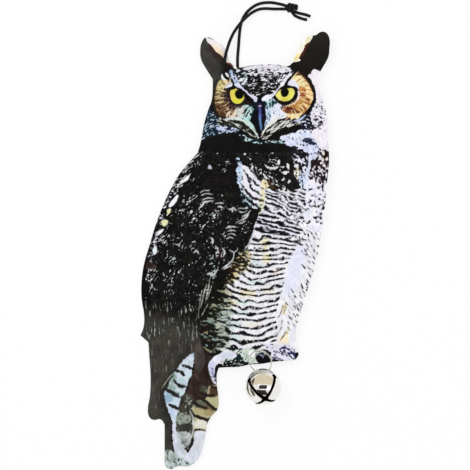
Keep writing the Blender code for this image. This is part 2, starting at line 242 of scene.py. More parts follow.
        # many small strokes over an area, on a shaken grid; sizes in picture units, turn in degrees
        p = self.spot(points)
        rng = np.random.default_rng(seed)
        x0, y0 = p.min(0)
        x1, y1 = p.max(0)
        page = (self.pageLeft, self.pageTop, self.zoom)
        self.page()
        drift = 0.38
        row = 0
        y = y0
        while y < y1:
            x = x0 + (row % 2) * gap[0] * 0.5
            while x < x1:
                spotX = x + rng.uniform(-drift, drift) * gap[0]
                spotY = y + rng.uniform(-drift, drift) * gap[1]
                pick = rng.uniform()
                size = rng.uniform(0.6, 1.35)
                thick = rng.uniform(0.7, 1.25)
                angle = math.radians(turn + rng.uniform(-spread, spread))
                hook = rng.uniform(-bend, bend)
                tone = rng.uniform(*tones)
                x += gap[0]
                if pick > keep or not pointInside(p, spotX, spotY):
                    continue
                shade = None if paper is None else tuple(c * tone for c in paper)
                ux, uy = math.cos(angle), math.sin(angle)
                half = 0.5 * long * size
                self.line([(spotX - ux * half, spotY - uy * half),
                           (spotX - uy * hook * long, spotY + ux * hook * long),
                           (spotX + ux * half, spotY + uy * half)],
                          wide * thick, light, rough=0.25, paper=shade, dark=dark, steps=2)
            y += gap[1]
            row += 1
        self.page(*page)

    def fur(self, seed, points, cells, bias, amp, way, paper, dark, soft=0.8, rough=0.6, share=1.0,
            tone=0.0, clump=0.0, sway=0.5, wire=0.0):
        # fine feather grain: way is its direction in degrees, or a middle that it runs out from, and
        # cells are its sizes along and across; paper and dark are pairs of colours that it wanders
        # between; wire draws thin pale squiggles of that width where the grain crosses its middle
        p = smoothLine(self.spot(points), 3, True)
        w = self.window(p, soft + rough * 1.5)
        if w is None:
            return
        x = self.x[:, w[1]] + 0.0 * self.y[w[0], :]
        y = self.y[w[0], :] + 0.0 * self.x[:, w[1]]
        if isinstance(way, tuple):
            cx, cy = self.spot(way)[0]
            s = np.hypot(x - cx, y - cy)
            t = np.arctan2(y - cy, x - cx) * float(np.median(s))
        else:
            a = math.radians(way)
            s = x * math.cos(a) + y * math.sin(a)
            t = y * math.cos(a) - x * math.sin(a)
        s = s + sway * self.middle[w]
        t = t + sway * self.broad[w] + 0.4 * sway * self.middle[w]
        grain = latticeNoise(s / cells[0], t / cells[1], seed)
        grain = 0.75 * grain + 0.45 * latticeNoise(s / cells[0] * 1.9, t / cells[1] * 1.9, seed + 50)
        wander = latticeNoise(s / cells[0] * 0.7, t / cells[1] * 0.6, seed + 90)
        mask = ease(-soft, soft, self.insideBy(p, w) + rough * self.ruffle[w]) * share
        if wire:
            broken = np.maximum(0.0, self.fine[w] + 0.35 * self.middle[w])
            field = bias + 3.0 * amp * (np.abs(grain) - wire) + 1.5 * broken + clump * self.broad[w]
        else:
            field = bias + amp * grain + clump * self.broad[w]
        self.ink[w] += (field - self.ink[w]) * mask
        part = (0.5 + 0.5 * np.clip(wander * 1.6, -1.0, 1.0))[..., None]
        for layer, pair in ((self.paper, paper), (self.dark, dark)):
            if pair is None:
                continue
            first = np.array(pair[0], np.float32)
            second = np.array(pair[-1], np.float32)
            colour = first + (second - first) * part + tone * grain[..., None]
            layer[w] += (colour - layer[w]) * mask[..., None]

    def bars(self, points, spines, period, duty, wave, seed, rough):
        # dark cross bars over an area; spines gives, at a few heights, how far down the rows
        # are shifted at a few x, and period is the size of a row at the top and at the foot
        soft = 1.2
        p = smoothLine(self.spot(points), 3, True)
        w = self.window(p, soft + 1.0)
        x = self.x[:, w[1]]
        y = self.y[w[0], :]
        levels = [self.pageTop + level / self.zoom for level, spine in spines]
        shifts = []
        for level, spine in spines:
            spineX = [self.pageLeft + s[0] / self.zoom for s in spine]
            shifts.append(np.interp(x[0], spineX, [s[1] / self.zoom for s in spine]))
        shifts = np.array(shifts)
        place = np.interp(y[:, 0], levels, np.arange(len(levels)))
        under = np.minimum(place.astype(int), len(levels) - 1)
        over = np.minimum(under + 1, len(levels) - 1)
        part = (place - under)[:, None]
        shift = shifts[under] * (1.0 - part) + shifts[over] * part
        wobble = seededCloud(self.down, self.across, 5.0 * self.step, 8.0 * self.step, seed)[w]
        nick = seededCloud(self.down, self.across, 1.5 * self.step, 2.2 * self.step, seed + 1)[w]
        widen = seededCloud(self.down, self.across, 5.0 * self.step, 7.0 * self.step, seed + 2)[w]
        first, last = period
        top = levels[0]
        grow = max((last - first) / max(levels[-1] - top, 1.0), 1e-4)
        size = np.maximum(first + grow * (y - shift + wave * 1.5 * wobble + 0.55 * nick - top), 0.5 * first)
        row = np.log(size / first) / grow
        row = np.abs(row - np.floor(row) - 0.5)
        depth = (duty * 0.5 + 0.09 * widen + 0.05 * nick - row) * size
        mask = ease(-soft, soft, self.insideBy(p, w) + rough * self.ruffle[w])
        self.ink[w] += (np.clip(depth, -3.0, 3.0) - self.ink[w]) * mask


def pointInside(p, x, y):
    # p is an array of corners
    inside = False
    for a, b in zip(p, np.roll(p, -1, 0)):
        if (a[1] > y) != (b[1] > y) and x < a[0] + (y - a[1]) * (b[0] - a[0]) / (b[1] - a[1]):
            inside = not inside
    return inside


def ringPoints(x, y, rx, ry, count=20, turn=0.0):
    # an oval of half widths rx and ry, turned in radians
    across = math.cos(turn)
    down = math.sin(turn)
    found = []
    for i in range(count):
        a = 2.0 * math.pi * i / count
        u = rx * math.cos(a)
        v = ry * math.sin(a)
        found.append((x + u * across - v * down, y + u * down + v * across))
    return found


# the painted sheet in picture units, with its samples to a unit
sheet = {"left": 138, "top": 26, "wide": 194, "tall": 445, "step": 3}
# corner and scale of the two enlarged sheets that the ears are drawn on
leftEarSheet = (196, 30, 26.13)
rightEarSheet = (276, 26, 26.13)

inks = {
    "wingDark": (17, 16, 15),
    # the next two inks are black lifted to grey as painted sheen on the glossy film: the left ear, and the
    # lower wing and tail
    "sheenDark": (56, 55, 53),
    "tailSheen": (60, 58, 53),
    "white": (244, 243, 248),
    "teal": (190, 224, 224),
    "cream": (250, 230, 203),
    "straw": (240, 218, 140),
    "rust": (170, 66, 34),
    "olive": (160, 142, 92),
}


def paintEars(pic):
    pic.page(*leftEarSheet)
    # painted sheen: the left ear's black is lifted to grey where the glossy film catches the light
    pic.area([60, 150, 60, 500, 120, 900, 430, 1330, 660, 1300, 700, 1100, 720, 860, 560, 640, 430, 520,
        330, 400, 280, 260, 240, 150], 3, dark=inks["sheenDark"], rough=0.3)
    pic.area([300, 480, 560, 660, 700, 800, 720, 900, 600, 880, 420, 640], dark=(44, 36, 36), soft=2)
    pic.area([262, 190, 330, 210, 470, 270, 640, 300, 800, 420, 800, 560, 722, 745, 640, 665, 520, 590,
        440, 470, 380, 400, 300, 335], -3, (238, 230, 234), rough=0.25, soft=0.5)
    pic.area([440, 400, 620, 470, 740, 640, 725, 745, 600, 640, 500, 560], paper=inks["cream"], rough=0.2)
    pic.line([320, 330, 400, 460, 520, 600, 640, 690, 715, 770], 2.4, dark=(58, 32, 20), tips=(0.2, 0.8))
    # the ear's inner side, between the strands of the loop
    pic.area([830, 640, 905, 680, 1010, 900, 1080, 1010, 1010, 1010, 900, 900, 790, 840], -3,
        (240, 236, 228), soft=0.5, rough=0.2)
    pic.line([800, 862, 880, 880, 950, 915, 1010, 950], 1.5, dark=(112, 46, 36))
    # more painted sheen: the ear's lower dark, lifted to grey
    pic.area([430, 1330, 520, 1290, 660, 1310, 560, 1460, 500, 1568, 400, 1568], 3, dark=(54, 54, 52),
        soft=0.6)

    pic.page(*rightEarSheet)
    pic.area([400, 960, 440, 760, 600, 560, 720, 380, 840, 260, 960, 270, 880, 430, 780, 550, 730, 640,
        650, 740, 600, 850, 640, 900, 560, 940, 470, 950], -3, (251, 247, 230), soft=0.5, rough=0.3)
    pic.area([450, 900, 480, 760, 620, 740, 600, 850, 520, 920], paper=(244, 224, 160), soft=1.4)
    pic.area([780, 290, 920, 280, 860, 420, 780, 520], paper=(236, 232, 196))
    pic.line([860, 440, 780, 550, 720, 680, 630, 830], 2.4, dark=(66, 26, 12), rough=0.4)
    pic.area([990, 1300, 1150, 1250, 1200, 1440, 1180, 1568, 1000, 1568, 930, 1420, 830, 1330, 880, 1260],
        -3, (243, 236, 244), soft=0.7, rough=0.5)


def paintDiscs(pic):
    # the golden feather discs around the eyes
    left = (237, 96)
    pic.fur(101, [222, 79, 228, 79.5, 231, 83, 227, 87, 226, 90, 229, 95, 230, 101, 236, 106, 242, 105,
        244, 109, 240, 114, 238, 119, 230, 119.5, 222, 117, 217, 112, 214.5, 104, 214.5, 96, 216, 88,
        219, 82], (2.6, 0.6), 0.5, 2.8, left, ((206, 190, 138), (182, 150, 96)),
        ((100, 82, 48), (60, 46, 30)), tone=24, soft=0.6)
    pic.fur(102, [219, 81, 226, 79, 228, 82, 224, 92, 218, 93, 216.5, 88], (2.8, 0.8), -0.9, 2.4, left,
        ((234, 224, 160), (210, 194, 126)), ((140, 122, 70), (104, 88, 46)), tone=20, soft=1.4)
    pic.fur(103, [216, 104, 228, 104, 240, 108, 240, 118, 230, 119, 221, 116], (2.6, 0.6), 0.7, 2.8, left,
        ((196, 150, 104), (160, 112, 72)), ((88, 52, 30), (50, 30, 22)), tone=26, soft=1.4)
    pic.fur(104, [225, 113, 238, 110, 240, 115, 238, 119, 229, 119], (2.6, 0.75), -0.3, 2.6, left,
        ((236, 222, 210), (214, 186, 164)), ((110, 66, 46), (84, 54, 42)), tone=18, soft=1)
    pic.fur(105, [224.5, 88, 229, 89, 229.5, 96, 231, 102, 237, 106, 246, 103, 247, 107.5, 238, 110,
        229, 108, 224.5, 101, 223.5, 94], (2.2, 0.75), 1, 2.4, left, ((150, 118, 92), (122, 98, 90)),
        ((50, 32, 40), (30, 22, 28)), tone=12, soft=1)
    pic.line([217, 80, 213.6, 88, 212.4, 97, 213.6, 107, 217, 115, 222, 119], 2.2, dark=(34, 30, 26),
        rough=1, tips=(0.6, 0.5))
    right = (285, 95)
    pic.fur(111, [291, 78, 295, 76, 300, 75.6, 305, 79, 309, 85, 312, 92, 312.5, 99, 310, 106, 305, 112,
        300, 117, 295, 121, 290, 120, 287, 116, 281, 112, 279, 108, 285, 106.5, 292, 102, 297, 97, 299, 90,
        297, 85, 292, 82], (3.4, 0.65), -0.7, 2.7, right, ((238, 212, 148), (218, 176, 104)),
        ((160, 108, 54), (120, 74, 34)), tone=24, soft=0.5)
    pic.fur(112, [291, 79, 296, 76, 301, 77, 306, 83, 303, 88, 298, 86], (2.4, 0.9), -1.6, 2.2, right,
        ((242, 234, 186), (230, 216, 152)), ((176, 160, 96), (150, 130, 66)), tone=16, soft=1.2)
    pic.fur(113, [298, 87, 304, 87, 306, 92, 305, 98, 299, 98], (3, 0.6), 0, 2.6, right,
        ((228, 176, 108), (206, 140, 78)), ((170, 88, 44), (126, 56, 28)), tone=20, soft=1.6)
    pic.fur(114, [306, 84, 312, 92, 312.5, 99, 309.5, 104, 307, 96], (2.4, 0.9), -2, 1.9, right,
        ((250, 228, 176), (244, 208, 144)), ((190, 124, 66), (160, 100, 50)), tone=12, soft=1)
    pic.fur(115, [294, 101, 308, 98, 310, 104, 304, 111, 297, 114, 288, 112, 290, 106], (3.8, 0.6), -0.1,
        2.9, right, ((230, 188, 114), (208, 152, 80)), ((150, 90, 38), (104, 58, 26)), tone=30, soft=1.6)
    pic.fur(116, [279.5, 108, 288, 107, 296, 109.5, 301, 113, 297, 117, 290, 114, 284, 113], (3, 0.6), 0.7,
        2.9, (285, 88), ((242, 210, 176), (222, 164, 112)), ((110, 34, 18), (66, 22, 16)), tone=20,
        soft=0.7)
    pic.fur(117, [290, 115.5, 298, 113, 303, 113, 297, 120, 292, 120], (2.2, 0.85), -1.2, 2.4, right,
        ((250, 238, 194), (240, 214, 150)), ((180, 120, 60), (140, 90, 46)), tone=14, soft=0.7)
    # longer hairs over both discs
    for middle, first, gap, count, near, far, pale, deep in (
            (left, 96, 7.4, 25, 13, 21, (232, 214, 172), (76, 54, 34)),
            (right, -66, 5.6, 28, 18, 26, (250, 232, 180), (142, 80, 36))):
        for i in range(count):
            turn = math.radians(first + i * gap)
            start = near + 2.4 * math.sin(i * 1.7)
            end = far + 1.6 * math.sin(i * 3.1)
            points = [(middle[0] + r * math.cos(turn + bend), middle[1] + r * math.sin(turn + bend))
                      for r, bend in ((start, 0.0), (0.5 * (start + end), 0.04), (end, 0.1))]
            pic.line(points, 0.5, i % 2 == 0, rough=0.5, paper=pale, dark=deep)


def paintEyes(pic):
    # left eye, half under its brow
    pic.area([227, 88, 233, 87.5, 241, 89, 248, 95, 254, 101, 250, 105, 244, 104.5, 239, 106, 232, 104,
        228.5, 98], 3, dark=(30, 20, 20), soft=0.5, rough=0.4)
    pic.shape([230.2, 92, 232, 90, 236, 89, 242, 92, 244, 96, 243.6, 99.5, 240.5, 103, 236.5, 103.8,
        233, 102, 230.8, 98], True, paper=(228, 218, 84), rough=0.1)
    pic.area([230, 91, 233.5, 91, 234, 98, 231.5, 98], paper=(228, 208, 92), soft=0.8)
    pic.area([233, 99.5, 237, 100.5, 242, 99.5, 239.5, 103.5, 235, 103.4], paper=(220, 220, 66), soft=0.6)
    pic.shape(ringPoints(239.3, 94.3, 4.5, 5), dark=(10, 9, 8), rough=0.1)
    pic.shape([226.5, 89, 231, 88.6, 236, 88.8, 240, 91, 243.2, 94, 247, 100, 254, 102.5, 250, 97.5,
        245, 92.5, 240.5, 89, 236, 86.6, 230, 87], dark=(10, 9, 8), rough=0.15)
    pic.line([243.6, 95, 244.4, 98.6, 242.6, 102], 1, dark=(40, 36, 20), tips=(0.3, 0.4))
    pic.fur(106, [225, 87.6, 226.4, 84.6, 229.8, 82.6, 232.4, 83.8, 232, 86.2, 228, 88.2], (2.4, 0.8), -1.2,
        2.6, -16, ((236, 236, 244), (206, 204, 214)), ((120, 104, 84), (64, 56, 52)), rough=0.7)
    pic.area([231.4, 79, 233.4, 82, 234.8, 86, 235, 89, 232, 88, 232.8, 84], 3, dark=(10, 10, 14), soft=0.4)
    # right eye
    pic.area([273.5, 97.5, 277, 92, 281, 87.5, 287, 85.6, 294, 86.4, 298, 89.5, 297.6, 96, 294, 100.5,
        288, 103.6, 281, 103, 276, 100.5], 3, dark=(14, 11, 10), soft=0.4, rough=0.2)
    pic.shape([275.4, 95.4, 278, 91.8, 282, 89, 288, 88.2, 292.4, 89, 294.4, 91.6, 293.6, 96, 290.4, 99.8,
        286, 101.6, 281, 100.8, 277.4, 98.4], True, paper=(230, 224, 104), rough=0.1)
    pic.area([276, 95, 280, 92, 281, 97, 279, 99], paper=(240, 234, 130), soft=0.8)
    pic.area([281, 98.6, 288, 98.6, 286, 101.4, 282, 101], paper=(214, 206, 78), soft=0.6)
    pic.shape(ringPoints(284.6, 92.4, 4.3, 4.9), dark=(10, 9, 8), rough=0.1)
    pic.shape([273.6, 97.6, 277, 93, 280.4, 90, 284, 89.4, 288.6, 88.8, 293, 88.4, 296, 91, 298, 89,
        294.6, 86.4, 288, 85.4, 283, 86.2, 278, 90], dark=(10, 9, 8), rough=0.15)
    pic.line([277, 101.6, 282, 104.6, 288, 104.8, 293, 102.4, 297, 98.6], 0.9, dark=(30, 20, 18),
        tips=(0.6, 0.4))
    for x, y, turn in ((283, 106.2, 15), (289, 105, -20), (293.6, 103.6, -32), (296, 101, -44)):
        u = math.cos(math.radians(turn)) * 1.8
        v = math.sin(math.radians(turn)) * 1.8
        pic.line([(x - u, y - v), (x + u, y + v)], 0.9, True, paper=(238, 234, 236))
    pic.shape([297.6, 91, 299.6, 93, 299, 98, 296.4, 101.2, 297.8, 96], True, paper=(240, 232, 232),
        rough=0.4)
    pic.shape([287.2, 84.6, 289.4, 81, 292, 79.4, 295.6, 82, 298, 86, 298.6, 90, 296.2, 87.2, 292, 86],
        True, paper=(234, 234, 248), rough=0.4)
    pic.shape([283, 88.6, 285, 83.6, 287.4, 79.4, 291, 76, 295, 74, 291.6, 78.4, 288.6, 82, 287, 87.4],
        dark=(10, 10, 14), rough=0.2)


def paintBrows(pic):
    # crown: dark, with fine pale arcs, under a pale frosted band
    over = (262, 112)
    pic.fur(121, [237, 70, 243, 69, 256, 67, 270, 67, 284, 68, 293, 70, 293, 75, 287, 79, 282, 85, 277, 91,
        273, 94, 266, 96, 260, 96, 252, 96, 247, 91, 243, 85, 239, 79], (0.8, 2.6), 1, 2.7, over,
        ((206, 206, 214), (238, 238, 244)), ((13, 12, 14), (30, 28, 32)), soft=0.6, rough=0.5, sway=0.7)
    pic.fur(122, [238, 70, 244, 68, 256, 65.4, 270, 64.8, 284, 66, 291, 69, 284, 71, 274, 69.6, 262, 70,
        250, 70.6], (0.9, 1.6), -1.4, 2.4, over, ((238, 234, 240), (214, 208, 220)),
        ((50, 44, 50), (90, 80, 90)), soft=0.7, rough=0.9)
    pic.fur(123, [248, 70, 262, 69, 280, 70, 290, 74, 276, 78, 262, 76, 252, 76], (0.85, 2.2), -0.1, 2.8,
        over, ((232, 230, 238), (206, 204, 214)), ((18, 16, 20), (40, 38, 44)), soft=1, rough=0.9)
    pic.fur(124, [236, 70, 243, 70, 248, 78, 244, 86, 239, 81], (0.9, 2.6), 0.2, 2.8, over,
        ((200, 216, 222), (232, 236, 240)), ((14, 26, 30), (30, 36, 44)))
    pic.fur(125, [276, 70, 292, 70, 290, 76, 283, 84, 277, 80], (2.4, 0.85), -0.1, 2.8, -42,
        ((226, 228, 236), (240, 240, 246)), ((18, 18, 22), (44, 42, 50)), soft=0.9)
    # the pale brow bands meet over the beak
    pic.fur(127, [229.6, 70, 233.6, 72, 236.6, 79, 240, 84.6, 245, 89.6, 250.6, 94.4, 256, 96.4, 257.6, 99,
        256, 102, 251.6, 101.6, 247, 98.4, 241.6, 92, 236, 88, 232.6, 82.4, 230.4, 76], (3, 0.75), -1.9,
        2.1, 50, ((236, 236, 247), (206, 210, 232)), ((60, 66, 90), (100, 104, 130)), soft=0.45)
    pic.fur(126, [229.4, 70, 233.6, 71, 236.8, 78, 239, 82, 235.6, 84, 232, 80, 230, 75], (2.8, 0.75), -0.2,
        2.7, 62, ((206, 216, 236), (160, 180, 210)), ((34, 48, 76), (60, 80, 110)), soft=0.5)
    pic.fur(128, [261.8, 101, 262.8, 97.4, 267, 95.4, 273.4, 93.4, 277.6, 89, 281.4, 83.6, 286, 77,
        290.6, 73, 292, 75, 288, 79, 285.4, 83.4, 283, 87.6, 278.4, 91.2, 274, 96.4, 268, 100], (3, 0.75),
        -1.9, 2.2, -44, ((242, 242, 249), (222, 220, 240)), ((60, 60, 76), (90, 88, 110)), soft=0.45)


def paintFace(pic):
    # feather fans beside the beak
    pic.fur(132, [246, 100, 256, 99, 258, 105, 258, 132, 253, 125, 249, 119, 244, 112, 243, 106],
        (2.4, 0.8), 2.4, 2, 110, ((120, 166, 150), (90, 150, 140)), ((14, 40, 38), (10, 20, 24)))
    pic.fur(131, [241, 107, 247, 104.6, 252, 106, 254, 110, 252, 115, 250, 121, 246, 119, 241, 118,
        239.6, 112], (3, 0.7), -0.2, 3.2, 114, ((222, 238, 236), (160, 202, 200)),
        ((20, 54, 60), (12, 30, 34)), tone=14, soft=0.7)
    pic.fur(133, [236, 108, 244, 106, 245, 112, 242, 118, 236, 118], (2.6, 0.75), -0.6, 2.7, 118,
        ((236, 232, 226), (204, 208, 200)), ((86, 70, 60), (60, 56, 54)), tone=16)
    pic.fur(134, [264, 99, 271, 98, 277, 101, 282, 106, 281, 110, 287, 115, 283, 119, 276, 120, 269, 126,
        264, 131, 265, 120, 265, 108], (2.8, 0.65), -0.8, 2.7, 66, ((242, 240, 249), (224, 230, 244)),
        ((64, 92, 130), (110, 122, 160)), tone=8, soft=0.6)
    pic.fur(135, [262.4, 99.6, 270, 98, 278, 101, 274, 106, 270, 109, 266, 110], (2.6, 0.75), 0.2, 2.9, 66,
        ((170, 208, 212), (214, 230, 238)), ((18, 56, 66), (14, 34, 54)), tone=12, soft=0.6)
    pic.fur(136, [264.6, 108, 270, 108, 271, 115, 270, 122, 265.6, 128, 266, 116], (3, 0.75), -0.2, 2.7, 84,
        ((176, 210, 228), (210, 224, 242)), ((30, 76, 106), (34, 52, 104)), tone=12, soft=0.6)
    # moustache bands sweep down to the beak's tip
    pic.fur(138, [218, 118, 230, 118, 241, 119, 250, 125, 258, 134, 260, 141, 252, 138, 242, 131, 230, 127,
        220, 126], (3.6, 0.75), 0.7, 2.9, 34, ((186, 188, 168), (216, 222, 218)),
        ((20, 22, 22), (44, 44, 38)), tone=10, soft=0.9)
    pic.line([226, 119, 236, 119, 243, 120.4, 250, 126, 255, 132, 258.4, 138], 2.3, True, tips=(0.35, 0.25),
        paper=(214, 228, 222), rough=1.1)
    pic.line([240.6, 116, 245, 119, 250.6, 124, 255.4, 130], 2, True, tips=(0.3, 0.3),
        paper=(190, 226, 222), rough=0.7)
    pic.fur(139, [262, 140, 264, 134, 270, 127, 280, 121, 292, 119, 300, 120, 300, 124, 288, 128, 276, 132,
        268, 138], (3.6, 0.75), 0, 2.9, -30, ((204, 206, 192), (228, 230, 230)),
        ((34, 34, 26), (18, 20, 18)), tone=10)
    pic.line([260.8, 137.4, 264, 131.4, 269, 125.4, 275, 120.4, 281, 117.6, 286, 117], 2.4, True,
        tips=(0.3, 0.2), paper=(228, 230, 222), rough=1.1)
    pic.line([294, 121, 300, 119.6, 306, 115], 1.6, True, tips=(0.3, 0.3), paper=(186, 200, 238), rough=0.8)
    # beak
    pic.shape([259, 94.6, 261.4, 98.6, 263.2, 104, 265.2, 111, 266.4, 118, 264.6, 123.6, 262.4, 129,
        260.8, 134, 259.6, 138.4, 258, 133.6, 255, 128, 251.6, 121.4, 253, 115, 256.2, 109, 257, 102],
        dark=(12, 13, 22), rough=0.25)
    pic.area([257.4, 104, 261, 102, 262.4, 108, 262, 118, 258.6, 112], dark=(38, 28, 76), soft=0.8)
    pic.line([259.8, 108, 260, 114, 260, 121, 261, 127, 261.4, 130], 1.7, dark=(84, 92, 160),
        tips=(0.3, 0.3))
    pic.line([259.6, 118, 260.6, 124, 261.2, 130], 1.2, dark=(96, 140, 180), tips=(0.3, 0.3))
    pic.line([257.6, 107.6, 259, 105.6], 0.8, True, paper=(190, 170, 200))
    pic.shape(ringPoints(260.2, 106.2, 0.9, 0.8), True, paper=(214, 196, 220))
    # chin
    pic.fur(141, [240, 134, 248, 137, 257, 140, 262, 141, 270, 140, 284, 140, 284, 143.4, 270, 144,
        256, 144, 246, 142, 239, 138], (2, 0.9), 0.4, 2.9, 14, ((180, 216, 222), (214, 232, 236)),
        ((14, 34, 40), (14, 20, 24)), soft=0.6)


def paintNeck(pic):
    # right side of the head, frosted, behind a dark rim round the disc
    pic.fur(151, [311, 72, 318, 70, 328, 84, 334, 110, 336, 150, 330, 152, 322, 149, 316, 142, 310, 131,
        304, 123, 308, 115, 313, 108, 315, 100, 315.6, 92, 312, 82], (2.4, 1), -1.7, 2.3, 66,
        ((248, 245, 249), (234, 226, 242)), ((96, 84, 96), (60, 52, 60)), rough=0.9)
    pic.line([314.6, 92, 314.6, 100, 313, 107, 309.4, 112.6, 304, 118], 3, dark=(16, 16, 22),
        tips=(0.3, 0.5), rough=0.9)
    pic.fur(157, [300, 121, 308, 116, 314, 118, 318, 128, 308, 130, 300, 127], (2.2, 1.2), 1, 2.8, 20,
        ((206, 214, 240), (228, 230, 244)), ((18, 18, 24), (34, 36, 50)), rough=1)
    pic.fur(152, [313, 106, 326, 102, 327, 124, 312, 126], (1.5, 1), -0.7, 2.8, 40,
        ((244, 240, 248), (230, 226, 242)), ((20, 20, 26), (44, 40, 50)), soft=1.2)
    pic.flecks([312, 120, 326, 118, 326, 130, 315, 130], (2.8, 2.8), 3, 1.9, 25, False, 43, keep=0.55)
    # left side of the neck: dark, with steel blue flecks
    pic.fur(153, [206, 106, 214, 112, 222, 118, 232, 123, 241, 128, 238, 133, 228, 134, 216, 135, 207, 140,
        198, 142, 202, 128, 205, 116], (1.8, 0.9), 0.6, 2.8, -26, ((188, 210, 226), (146, 172, 200)),
        ((18, 28, 40), (20, 38, 46)), soft=1, clump=0.5)
    pic.fur(154, [216, 127, 226, 124, 238, 126, 234, 132, 222, 132], (2, 0.9), -0.5, 2.7, -14,
        ((190, 206, 242), (216, 226, 244)), ((28, 38, 70), (20, 28, 44)), soft=1)
    pic.area([200, 141, 214, 136, 240, 134, 262, 145, 288, 146, 288, 152, 220, 152, 196, 150], 3,
        dark=(17, 16, 17), rough=1)


